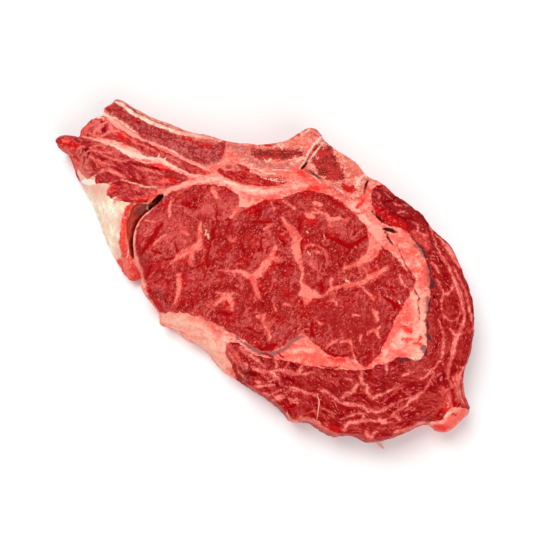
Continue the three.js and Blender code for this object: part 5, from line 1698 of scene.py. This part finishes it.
@dataclass(frozen=True)
class Finish:
    """How one kind of tissue looks.

    Args:
        name: Name of the material.
        dark: Colour of the darkest grain.
        middle: Colour of most of it.
        light: Colour of the palest grain.
        colours: Colours of the marks that it can carry; a pair is mixed by the grain.
        fleck: Colour and strength of the small pale flecks.
        crease_shade: Colour and strength of the fine dark lines and pits of the grain, painted shade in its
            small creases.
        halo: Colour and strength of the tint round the veins.
        blotch: Colour and strength of the broad blotches.
        threads: Colour and width of the threads of fat, or None.
        grain: Size of its grain, 1 for that of lean meat.
        ragged: How ragged its marks are, 1 for those in lean meat.
        rim: Width of its rim, in millimetres.
        rough: Roughness of the dry surface.
        gloss: How strongly the bare surface mirrors.
        wet: How much wet film lies on it.
        bump: Height of its fine relief, in millimetres.
        glow: How much light goes under its surface.
    """

    name: str
    dark: Colour
    middle: Colour
    light: Colour
    colours: dict[Layer, Colour | tuple[Colour, Colour]]
    fleck: tuple[Colour, float] = ((236, 124, 114), 0.5)
    crease_shade: tuple[Colour, float] = ((156, 0, 4), 0.75)
    halo: tuple[Colour, float] = ((230, 100, 90), 0.45)
    blotch: tuple[Colour, float] = ((200, 60, 60), 0.0)
    threads: tuple[Colour, float] | None = None
    grain: float = 1.0
    ragged: float = 1.0
    rim: float = 0.0
    rough: float = 0.42
    gloss: float = 0.02
    wet: float = 0.7
    bump: float = 0.22
    glow: float = 0.1

    def material(self, shared: SharedEffects) -> bpy.types.Material:
        """Makes the material of this tissue.

        Args:
            shared: The groups that all the tissues share.

        Returns:
            The new material.
        """
        made = bpy.data.materials.new(self.name)
        made.use_nodes = True
        made.node_tree.nodes.clear()
        tree = Tree(made.node_tree)
        grain = tree.add("ShaderNodeGroup", node_tree=shared.grain)
        grain.inputs["Size"].default_value = self.grain
        tone = grain.outputs["Tone"]
        colour = tree.blend(tree.rise(tone, 0.0, 0.5), linear(self.dark), linear(self.middle))
        colour = tree.blend(tree.rise(tone, 0.5, 1.0), colour, linear(self.light))
        colour = self._tint(tree, grain.outputs["Blotch"], self.blotch, colour)
        if self.threads:
            threads = tree.add("ShaderNodeGroup", node_tree=shared.marbling)
            threads.inputs["Width"].default_value = self.threads[1]
            colour = self._tint(tree, threads.outputs["Mask"], (self.threads[0], 0.6), colour)
        marks = tree.add("ShaderNodeGroup", node_tree=shared.marks)
        marks.inputs["Ragged"].default_value = self.ragged
        marks.inputs["Rim"].default_value = self.rim
        colour = self._marked(tree, marks, UNDER_GRAIN, tone, colour)
        colour = self._tint(tree, grain.outputs["Fleck"], self.fleck, colour)
        # painted shade in the grain's small creases and pits
        colour = self._tint(tree, grain.outputs["Crease_shade"], self.crease_shade, colour)
        if Layer.VEIN in self.colours:
            colour = self._tint(tree, marks.outputs["halo"], self.halo, colour)
        colour = self._marked(tree, marks, OVER_GRAIN, tone, colour)
        film = tree.add("ShaderNodeGroup", node_tree=shared.film)
        film.inputs["Rough"].default_value = self.rough
        film.inputs["Wet"].default_value = self.wet
        bump = tree.add("ShaderNodeBump", {
            "Strength": 1.0, "Distance": self.bump * MM, "Height": grain.outputs["Height"]})
        shader = tree.add("ShaderNodeBsdfPrincipled", {
            "Base Color": colour,
            "Roughness": film.outputs["Roughness"],
            "Coat Weight": film.outputs["Coat"],
            "Coat Roughness": 0.1,
            "Coat Normal": bump.outputs["Normal"],
            "Specular IOR Level": self.gloss,
            "Subsurface Weight": self.glow,
            "Subsurface Radius": (1.0, 0.35, 0.25),
            "Subsurface Scale": 1.2 * MM,
            "Normal": bump.outputs["Normal"],
        })
        output = tree.add("ShaderNodeOutputMaterial")
        tree.link(shader.outputs["BSDF"], output.inputs["Surface"])
        return made

    def _tint(self, tree: Tree, mask: object, tint: tuple[Colour, float],
              colour: object) -> object:
        """Lays a colour over another where a mask says so.

        Args:
            tree: The tree to write into.
            mask: Socket of the mask.
            tint: The colour to lay and its strength.
            colour: Socket or value of the colour below.

        Returns:
            Socket or value of the result.
        """
        if tint[1] == 0:
            return colour
        return tree.blend(tree.math("MULTIPLY", mask, tint[1]), colour, linear(tint[0]))

    def _marked(self, tree: Tree, marks: bpy.types.Node, layers: tuple[Layer, ...],
                tone: object, colour: object) -> object:
        """Paints some of the marks that a mesh carries over its plain colour.

        Args:
            tree: The tree to write into.
            marks: Node with the masks.
            layers: The marks to paint, the lowest first.
            tone: Socket of the grain's tone.
            colour: Socket or value of the colour below.

        Returns:
            Socket or value of the result.
        """
        patchy = tree.rise(tone, 0.25, 0.75)
        for layer in (layer for layer in layers if layer in self.colours):
            mask = marks.outputs[layer.value]
            if layer is Layer.RIM:
                mask = tree.math("SUBTRACT", 1.0, mask)
            paint = self.colours[layer]
            if isinstance(paint[0], tuple):
                paint = tree.blend(patchy, *map(linear, paint))
            else:
                paint = linear(paint)
            uneven = tree.math("MULTIPLY_ADD", tone, 0.25, PAINT_STRENGTH[layer])
            colour = tree.blend(tree.math("MULTIPLY", mask, uneven), colour, paint)
        return colour


UNDER_GRAIN = (
    Layer.PALER, Layer.DEEPER, Layer.GRISTLE, Layer.ASH, Layer.LARD_AND_HIGHLIGHT, Layer.PLUM, Layer.MARROW,
    Layer.BRIGHT_AND_SHADE,
)
OVER_GRAIN = (
    Layer.GREY, Layer.CREASE, Layer.VEIN, Layer.PALE_AND_HIGHLIGHT, Layer.RIM, Layer.CRACK_SHADOW,
)
PAINT_STRENGTH = {
    Layer.PALER: 0.5, Layer.DEEPER: 0.6, Layer.GRISTLE: 0.6, Layer.ASH: 0.6, Layer.LARD_AND_HIGHLIGHT: 0.6,
    Layer.PLUM: 0.85, Layer.MARROW: 0.84, Layer.GREY: 0.8, Layer.BRIGHT_AND_SHADE: 0.92,
    Layer.CREASE: 1.0, Layer.VEIN: 0.85, Layer.PALE_AND_HIGHLIGHT: 0.8, Layer.RIM: 0.6, Layer.CRACK_SHADOW: 0.95,
}


# In these finishes the crack and crease colours are painted shade in clefts, holes and creases; the darker
# bright colour also paints the shade beside the eye's veins, and the pale and lard colours also paint
# highlights.
class Tissue(Enum):
    """The kinds of tissue, each with its finish."""

    EYE = Finish(
        "eye lean", (150, 4, 8), (174, 40, 38), (200, 86, 82),
        {
            Layer.VEIN: ((236, 92, 82), (253, 134, 118)), Layer.PALE_AND_HIGHLIGHT: (250, 190, 165),
            Layer.BRIGHT_AND_SHADE: ((176, 0, 8), (206, 28, 26)), Layer.LARD_AND_HIGHLIGHT: (222, 96, 90),
            Layer.GREY: (150, 66, 62), Layer.CRACK_SHADOW: (110, 0, 4), Layer.CREASE: (168, 0, 6),
            Layer.RIM: (226, 84, 74), Layer.PALER: (216, 84, 78), Layer.DEEPER: (170, 36, 34),
        },
        blotch=((200, 20, 16), 0.4), threads=((232, 98, 88), 0.04),
    )
    CAP = Finish(
        "cap lean", (138, 0, 8), (164, 24, 24), (190, 60, 56),
        {
            Layer.VEIN: ((220, 92, 84), (244, 132, 120)), Layer.PALE_AND_HIGHLIGHT: (250, 170, 150),
            Layer.BRIGHT_AND_SHADE: ((168, 2, 10), (216, 28, 30)), Layer.LARD_AND_HIGHLIGHT: (240, 88, 80),
            Layer.PLUM: (150, 26, 30), Layer.GREY: (96, 38, 42), Layer.CRACK_SHADOW: (70, 4, 6),
            Layer.RIM: (214, 76, 68),
            Layer.CREASE: (132, 0, 6), Layer.PALER: (205, 78, 72), Layer.DEEPER: (140, 12, 14),
        },
        blotch=((150, 14, 20), 0.35), threads=((214, 76, 68), 0.03), grain=1.1,
        crease_shade=((136, 0, 4), 0.6), fleck=((232, 116, 108), 0.6), halo=((220, 84, 76), 0.3),
    )
    SEAM = Finish(
        "seam lean", (158, 8, 10), (194, 42, 38), (220, 84, 76),
        {
            Layer.PALE_AND_HIGHLIGHT: (252, 186, 168), Layer.BRIGHT_AND_SHADE: ((190, 8, 10), (228, 40, 34)),
            Layer.LARD_AND_HIGHLIGHT: (250, 150, 136), Layer.RIM: (250, 140, 124),
        },
        threads=((248, 140, 126), 0.07), ragged=1.6, rim=0.7,
    )
    FLANK = Finish(
        "flank lean", (152, 14, 18), (184, 46, 46), (208, 82, 78),
        {
            Layer.VEIN: (240, 120, 108), Layer.PALE_AND_HIGHLIGHT: (252, 200, 180),
            Layer.BRIGHT_AND_SHADE: ((238, 20, 20), (255, 92, 82)), Layer.LARD_AND_HIGHLIGHT: (228, 104, 98),
            Layer.GREY: (150, 70, 68), Layer.CREASE: (140, 4, 14), Layer.RIM: (236, 100, 88),
            Layer.DEEPER: (170, 34, 36),
        },
        blotch=((170, 40, 50), 0.3), threads=((232, 108, 98), 0.05), grain=1.1,
    )
    RIB_BONE = Finish(
        "rib bone", (148, 34, 38), (182, 66, 64), (210, 104, 98),
        {
            Layer.VEIN: ((248, 146, 130), (253, 190, 168)),
            Layer.PALE_AND_HIGHLIGHT: ((252, 190, 168), (254, 224, 200)), Layer.BRIGHT_AND_SHADE: (222, 36, 30),
            Layer.LARD_AND_HIGHLIGHT: (252, 170, 150), Layer.MARROW: (140, 18, 18),
            Layer.GRISTLE: (244, 132, 114), Layer.ASH: (196, 110, 106),
            Layer.RIM: (240, 124, 108),
        },
        fleck=((236, 160, 150), 0.4), blotch=((190, 30, 32), 0.3), grain=0.9, rim=0.8, wet=0.6,
        bump=0.35,
    )
    BACK_BONE = Finish(
        "back bone", (230, 97, 86), (255, 148, 128), (255, 188, 166),
        {
            Layer.PALE_AND_HIGHLIGHT: (253, 206, 186), Layer.BRIGHT_AND_SHADE: (206, 24, 22), Layer.CRACK_SHADOW: (60, 8, 10),
            Layer.MARROW: ((106, 0, 4), (202, 54, 48)), Layer.GRISTLE: (252, 140, 118),
            Layer.ASH: ((186, 98, 94), (212, 130, 122)), Layer.RIM: (244, 120, 104),
            Layer.GREY: (116, 48, 52), Layer.LARD_AND_HIGHLIGHT: (253, 190, 170), Layer.DEEPER: (230, 84, 72),
        },
        fleck=((250, 150, 138), 0.45), crease_shade=((186, 44, 42), 0.5), blotch=((222, 70, 62), 0.5),
        grain=0.8, wet=0.5, bump=0.35,
    )
    OUTER_FAT = Finish(
        "outer fat", (252, 214, 184), (255, 244, 212), (255, 254, 236),
        {
            Layer.VEIN: (250, 140, 118), Layer.BRIGHT_AND_SHADE: ((226, 14, 4), (240, 48, 30)),
            Layer.PALE_AND_HIGHLIGHT: (254, 240, 220), Layer.DEEPER: (238, 150, 136), Layer.RIM: (214, 84, 66),
        },
        fleck=((254, 246, 222), 0.15), crease_shade=((244, 160, 138), 0.4),
        blotch=((248, 184, 156), 0.5), grain=2.2, ragged=0.6, rough=0.5, gloss=0.2, wet=0.4,
        bump=0.25, glow=0.25,
    )
    SEAM_FAT = Finish(
        "seam fat", (238, 84, 72), (249, 118, 102), (254, 156, 138),
        {
            Layer.VEIN: (252, 158, 140), Layer.PALE_AND_HIGHLIGHT: (253, 206, 186), Layer.BRIGHT_AND_SHADE: (236, 44, 34),
            Layer.GREY: (150, 84, 80), Layer.CRACK_SHADOW: (66, 4, 6), Layer.GRISTLE: (250, 160, 138),
            Layer.LARD_AND_HIGHLIGHT: (254, 190, 170), Layer.PALER: (254, 198, 172), Layer.DEEPER: (240, 76, 60),
            Layer.CREASE: (170, 16, 18), Layer.RIM: (240, 96, 84),
        },
        fleck=((254, 196, 176), 0.3), crease_shade=((228, 66, 54), 0.3),
        blotch=((236, 84, 72), 0.4), threads=((254, 200, 180), 0.022), grain=2.2, rough=0.5,
        gloss=0.15, wet=0.45, bump=0.3, glow=0.25,
    )
    MEMBRANE = Finish(
        "membrane", (132, 30, 20), (160, 46, 32), (184, 66, 50),
        {
            Layer.ASH: (116, 54, 48), Layer.MARROW: (140, 20, 14), Layer.BRIGHT_AND_SHADE: (188, 48, 32),
            Layer.GREY: (200, 156, 152), Layer.PALE_AND_HIGHLIGHT: (240, 150, 130), Layer.RIM: (184, 70, 52),
            Layer.CRACK_SHADOW: (26, 2, 4),
        },
        fleck=((220, 120, 100), 0.0), crease_shade=((110, 16, 12), 0.3), grain=2.4, ragged=0.6,
        rough=0.35, wet=0.9, bump=0.1,
    )
    LOOSE_FAT = Finish(
        "loose fat", (230, 120, 108), (240, 146, 134), (248, 180, 166), {},
        crease_shade=((230, 110, 100), 0.0), rough=0.5, wet=0.4, bump=0.1,
    )


# ---- The pieces -------------------------------------------------------------------------


class Workshop:
    """The fields, effects and materials that the assemblies share."""

    def __init__(self) -> None:
        """Works out the steak's fields and makes every material once."""
        self.steak = Steak(Grid())
        shared = SharedEffects()
        self.materials = {tissue: tissue.value.material(shared) for tissue in Tissue}

    def dress(self, piece: bpy.types.Object, tissue: Tissue, slot: str, *nodes: str) -> None:
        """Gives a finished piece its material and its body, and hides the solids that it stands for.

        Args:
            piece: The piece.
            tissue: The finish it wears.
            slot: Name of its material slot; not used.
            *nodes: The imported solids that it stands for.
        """
        piece.data.materials.clear()
        piece.data.materials.append(self.materials[tissue])
        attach(piece, "root")
        if nodes:
            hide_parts(*nodes)
        log.info("%s: %d triangles", piece.name, len(piece.data.polygons))

    def make(self, cut: Cut, tissue: Tissue, slot: str, *nodes: str) -> None:
        """Builds one cut piece, which stands for the solid of its claim or for those named."""
        self.dress(cut.build(self.steak), tissue, slot, *(nodes or (cut.claim,)))


@dataclass
class Muscles:
    """The lean meat: the eye, the cap round it and the smaller muscles beside the bones."""

    eye: Cut = Cut("eye_of_rib", "eye_muscle", turn=50.0, stretch=1.4)
    cap: Cut = Cut("rib_cap", "cap_muscle", course=Flow.ROUND, stretch=1.8)
    seam: Cut = Cut("seam_strip", "seam_meat", turn=-20.0, stretch=3.0)
    sides: tuple[Cut, ...] = (
        Cut("flank_strip", "flank_meat", turn=-28.0, stretch=2.2),
        Cut("flank_lobes", "lower_flank_meat", turn=-28.0, stretch=2.2),
        Cut("rib_strip", "rib_meat", turn=-28.0, stretch=2.6),
    )

    def build(self, shop: Workshop) -> None:
        """Builds and dresses every muscle.

        Args:
            shop: What the assemblies share.
        """
        shop.make(self.eye, Tissue.EYE, "eye_lean")
        shop.make(self.cap, Tissue.CAP, "cap_lean")
        shop.make(self.seam, Tissue.SEAM, "cap_lean")
        for cut in self.sides:
            shop.make(cut, Tissue.FLANK, "flank_lean")


@dataclass
class Bones:
    """The sawn rib along the upper left and the two parts of the back bone beside it."""

    rib: Cut = Cut("sawn_rib", "rib_bone", turn=-24.0)
    back: tuple[Cut, ...] = (
        Cut("sawn_chine", "chine_bone"),
        Cut("sawn_feather", "feather_bone"),
    )

    def build(self, shop: Workshop) -> None:
        """Builds and dresses every bone.

        Args:
            shop: What the assemblies share.
        """
        shop.make(self.rib, Tissue.RIB_BONE, "rib_bone")
        for cut in self.back:
            shop.make(cut, Tissue.BACK_BONE, "back_bone")


@dataclass
class FatBeds:
    """The pale outer flap, the pink fat in the seams and the membrane between them."""

    flap: Cut = Cut("outer_flap", "flap_fat", least=0.05, turn=-66.0, stretch=1.1)
    seams: Cut = Cut("seam_bed", "seam_fat", least=0.05)
    pocket: Cut = SunkenCut("pocket_skin", "pocket", turn=70.0)

    def build(self, shop: Workshop) -> None:
        """Builds and dresses the beds of fat and the membrane.

        Args:
            shop: What the assemblies share.
        """
        beds = ("seam_fat", "rim_fat", "wedge_fat", "kernel_fat", "corner_fat")
        shop.make(self.flap, Tissue.OUTER_FAT, "outer_fat")
        shop.make(self.seams, Tissue.SEAM_FAT, "seam_fat", *beds)
        shop.make(self.pocket, Tissue.MEMBRANE, "membrane", "pocket_membrane")


# ---- Loose bits on the cut, grown with Geometry Nodes ------------------------------------


def grown(source: bpy.types.Object, tree: Tree, sizes: dict[str, object]) -> bpy.types.Object:
    """Runs a geometry tree on an object and keeps what it makes as a plain mesh.

    Args:
        source: The object to grow from, which is removed afterwards.
        tree: The geometry tree.
        sizes: Values of its named inputs.

    Returns:
        A new mesh object with the source's name.
    """
    modifier = source.modifiers.new("Grow", "NODES")
    modifier.node_group = tree.tree
    for item in tree.tree.interface.items_tree:
        if item.in_out == "INPUT" and item.name in sizes:
            modifier[item.identifier] = sizes[item.name]
    depsgraph = bpy.context.evaluated_depsgraph_get()
    mesh = bpy.data.meshes.new_from_object(source.evaluated_get(depsgraph))
    name = source.name
    source.modifiers.clear()
    bpy.data.objects.remove(source)
    mesh.name = name
    mesh.shade_smooth()
    made = bpy.data.objects.new(name, mesh)
    bpy.context.scene.collection.objects.link(made)
    return made


def geometry_tree(name: str, inputs: dict[str, str]) -> tuple:
    """Starts a geometry tree with a geometry, a material and other named inputs.

    Args:
        name: Name of the tree.
        inputs: Types of the other inputs, by their names.

    Returns:
        The tree to write into, its input node and its output node.
    """
    group = bpy.data.node_groups.new(name, "GeometryNodeTree")
    group.interface.new_socket("Geometry", in_out="INPUT", socket_type="NodeSocketGeometry")
    group.interface.new_socket("Geometry", in_out="OUTPUT", socket_type="NodeSocketGeometry")
    for label, kind in {**inputs, "Material": "Material"}.items():
        group.interface.new_socket(label, in_out="INPUT", socket_type=f"NodeSocket{kind}")
    tree = Tree(group)
    return tree, tree.add("NodeGroupInput"), tree.add("NodeGroupOutput")


@dataclass
class LooseBits:
    """Strands and crumbs of fat and bone dust that lie on the cut.

    Args:
        strands: The centre lines of the strands that lie on the cut, with their widths.
        hanging: Centre line of the strand that hangs over the edge: x, y, z and width.
        strand_lift: How far a strand's middle lies above the cut.
        crumb_density: Crumbs for each square metre.
        crumb_size: Radius that the crumbs' scales are a share of.
        crumb_scales: Least and greatest scale of a crumb, in each direction.
        crumb_turns: Least and greatest turn of a crumb, in radians.
        seed: Seed of the scatter.
    """

    strands: tuple[Stroke, ...] = (
        ((29.6, -70.9, 0.5), (30.6, -73.9, 0.9), (30.3, -77.5, 0.8), (29.4, -83.4, 0.3)),
    )
    hanging: tuple[tuple[float, ...], ...] = (
        (61.5, -94.5, 14.0, 0.3), (63.8, -96.1, 8.0, 1.1), (67.1, -98.4, 1.2, 0.9),
    )
    strand_lift: float = 0.25
    crumb_density: float = 90000.0
    crumb_size: float = 0.38
    crumb_scales: tuple = ((0.3, 0.3, 0.2), (1.3, 0.9, 0.5))
    crumb_turns: tuple = ((-0.3, -0.3, 0.0), (0.3, 0.3, 6.28))
    seed: int = 7

    def build(self, shop: Workshop) -> None:
        """Grows the strands and the crumbs, and dresses them.

        Args:
            shop: What the assemblies share.
        """
        for piece in (self._strands(shop), self._crumbs(shop)):
            shop.dress(piece, Tissue.LOOSE_FAT, "seam_fat")

    def _finish(self, tree: Tree, given: bpy.types.Node, result: bpy.types.Node,
                made: bpy.types.Node) -> None:
        """Ends a geometry tree with real, painted geometry.

        Args:
            tree: The geometry tree.
            given: Its input node.
            result: Its output node.
            made: The node whose first output is to be shown.
        """
        whole = tree.add("GeometryNodeRealizeInstances", {0: made.outputs[0]})
        painted = tree.add("GeometryNodeSetMaterial", {
            "Geometry": whole.outputs[0], "Material": given.outputs["Material"]})
        tree.link(painted.outputs[0], result.inputs[0])

    def _strands(self, shop: Workshop) -> bpy.types.Object:
        """Sweeps a tapering round profile along each strand's centre line.

        Args:
            shop: What the assemblies share.

        Returns:
            The strands, as one object.
        """
        tree, given, result = geometry_tree("Loose strands", {"Thickness": "Float"})
        curve = tree.add("GeometryNodeMeshToCurve", {"Mesh": given.outputs["Geometry"]})
        width = tree.add(
            "GeometryNodeInputNamedAttribute", {"Name": "width"}, data_type="FLOAT")
        radius = tree.math("MULTIPLY", width.outputs[0], given.outputs["Thickness"])
        shaped = tree.add(
            "GeometryNodeSetCurveRadius", {"Curve": curve.outputs[0], "Radius": radius})
        ring = tree.add("GeometryNodeCurvePrimitiveCircle", {"Resolution": 7, "Radius": 0.5 * MM})
        swept = tree.add("GeometryNodeCurveToMesh", {
            "Curve": shaped.outputs[0], "Profile Curve": ring.outputs[0], "Fill Caps": True})
        if "Scale" in swept.inputs:
            tree.link(radius, swept.inputs["Scale"])
        self._finish(tree, given, result, swept)
        steak, places, widths, edges = shop.steak, [], [], []
        paths = [smooth_curve(np.array(self.hanging), False, 0.5)]
        for stroke in self.strands:
            path = smooth_curve(np.array(stroke), False, 0.5)
            height = steak.grid.read(steak.top, path[:, 0], path[:, 1]) + self.strand_lift
            paths.append(np.column_stack([path[:, :2], height, path[:, 2]]))
        for path in paths:
            first = len(places)
            places += [tuple(place) for place in path[:, :3] * MM]
            widths += list(path[:, 3])
            edges += [(first + step, first + step + 1) for step in range(len(path) - 1)]
        mesh = bpy.data.meshes.new("loose_strands")
        mesh.from_pydata(places, edges, [])
        mesh.attributes.new("width", "FLOAT", "POINT").data.foreach_set("value", widths)
        source = bpy.data.objects.new("loose_strands", mesh)
        bpy.context.scene.collection.objects.link(source)
        material = shop.materials[Tissue.LOOSE_FAT]
        return grown(source, tree, {"Thickness": 1.0, "Material": material})

    def _crumbs(self, shop: Workshop) -> bpy.types.Object:
        """Scatters small flattened lumps over the places where crumbs lie.

        Args:
            shop: What the assemblies share.

        Returns:
            The crumbs, as one object.
        """
        tree, given, result = geometry_tree(
            "Crumbs", {"Density": "Float", "Size": "Float", "Seed": "Int"})
        spread = tree.add("GeometryNodeDistributePointsOnFaces", {
            "Mesh": given.outputs["Geometry"], "Density": given.outputs["Density"],
            "Seed": given.outputs["Seed"]})
        lump = tree.add("GeometryNodeMeshIcoSphere", {
            "Radius": given.outputs["Size"], "Subdivisions": 2})
        sizes, turns = (
            tree.add("FunctionNodeRandomValue", {
                0: low, 1: high, "Seed": given.outputs["Seed"]}, data_type="FLOAT_VECTOR")
            for low, high in (self.crumb_scales, self.crumb_turns)
        )
        placed = tree.add("GeometryNodeInstanceOnPoints", {
            "Points": spread.outputs["Points"], "Instance": lump.outputs["Mesh"],
            "Rotation": turns.outputs[0], "Scale": sizes.outputs[0]})
        self._finish(tree, given, result, placed)
        steak = shop.steak
        lean = np.maximum.reduce([steak.claims[name] for name in LEAN])
        patch = flat_patch(steak.grid, np.minimum(steak.strokes(CRUMBS), lean))
        x, y = patch.places.T
        places = np.stack([x, y, steak.grid.read(steak.top, x, y)], axis=1)
        source = new_mesh("fat_crumbs", places, patch.triangles)
        return grown(source, tree, {
            "Density": self.crumb_density, "Size": self.crumb_size * MM, "Seed": self.seed,
            "Material": shop.materials[Tissue.LOOSE_FAT]})


# ---- The stage --------------------------------------------------------------------------


@dataclass(frozen=True)
class Lamp:
    """A square light that faces the steak.

    Args:
        name: Name of the light.
        place: Where it hangs, in metres.
        side: Its side, in metres.
        power: Its power, in watts.
    """

    name: str
    place: tuple[float, float, float]
    side: float
    power: float

    def build(self) -> None:
        """Hangs the light."""
        data = bpy.data.lights.new(self.name, "AREA")
        data.size = self.side
        data.energy = self.power
        lamp = bpy.data.objects.new(self.name, data)
        lamp.location = self.place
        lamp.rotation_euler = (-Vector(self.place)).to_track_quat("-Z", "Y").to_euler()
        bpy.context.scene.collection.objects.link(lamp)


@dataclass
class Stage:
    """The floor, the soft studio light and the camera.

    Args:
        floor_side: Side of the floor, in metres.
        floor_tone: Colour of the floor.
        floor_rough: Roughness of the floor.
        lamps: The lights.
        sky: Strength of the even light from all sides.
        camera_place: Where the camera stands, in millimetres.
        camera_target: The place it looks at, in millimetres.
        focal_length: Focal length of its lens, in millimetres.
        film_width: Width of its film, in millimetres.
    """

    floor_side: float = 6.0
    floor_tone: Colour = (246, 246, 246)
    floor_rough: float = 0.7
    lamps: tuple[Lamp, ...] = (
        Lamp("key", (-0.45, 0.53, 1.5), 0.85, 18.9),
        Lamp("fill", (0.4, -0.8, 0.85), 1.0, 7.6),
    )
    sky: float = 0.3
    camera_place: tuple[float, float, float] = (3.48, -88.85, 451.3)
    camera_target: tuple[float, float, float] = (3.48, -2.72, 28.0)
    focal_length: float = 54.4
    film_width: float = 36.0

    def build(self) -> None:
        """Builds the floor, the lights, the sky and the camera."""
        self._floor()
        for lamp in self.lamps:
            lamp.build()
        world = bpy.data.worlds.new("soft sky")
        bpy.context.scene.world = world
        world.use_nodes = True
        background = world.node_tree.nodes["Background"]
        background.inputs["Color"].default_value = (1, 1, 1, 1)
        background.inputs["Strength"].default_value = self.sky
        bpy.context.scene.view_settings.view_transform = "Standard"
        self._camera()

    def _floor(self) -> None:
        """Lays the floor just under the steak."""
        half = self.floor_side / 2
        mesh = bpy.data.meshes.new("floor")
        corners = [(-half, -half, 0), (half, -half, 0), (half, half, 0), (-half, half, 0)]
        mesh.from_pydata(corners, [], [(0, 1, 2, 3)])
        floor = bpy.data.objects.new("floor", mesh)
        bpy.context.scene.collection.objects.link(floor)
        paint = bpy.data.materials.new("floor")
        paint.use_nodes = True
        shader = paint.node_tree.nodes["Principled BSDF"]
        shader.inputs["Base Color"].default_value = linear(self.floor_tone)
        shader.inputs["Roughness"].default_value = self.floor_rough
        mesh.materials.append(paint)

    def _camera(self) -> None:
        """Stands the camera and makes it the scene's."""
        data = bpy.data.cameras.new("camera")
        data.lens = self.focal_length
        data.sensor_width = self.film_width
        camera = bpy.data.objects.new("camera", data)
        camera.location = Vector(self.camera_place) * MM
        look = Vector(self.camera_target) * MM - camera.location
        camera.rotation_euler = look.to_track_quat("-Z", "Y").to_euler()
        bpy.context.scene.collection.objects.link(camera)
        bpy.context.scene.camera = camera


def main() -> None:
    """Builds the steak and its stage."""
    logging.basicConfig(level=logging.INFO, format="%(message)s")
    shop = Workshop()
    for assembly in (Muscles(), Bones(), FatBeds(), LooseBits()):
        assembly.build(shop)
        log.info("%s done", type(assembly).__name__)
    Stage().build()


if __name__ == "__main__":
    main()
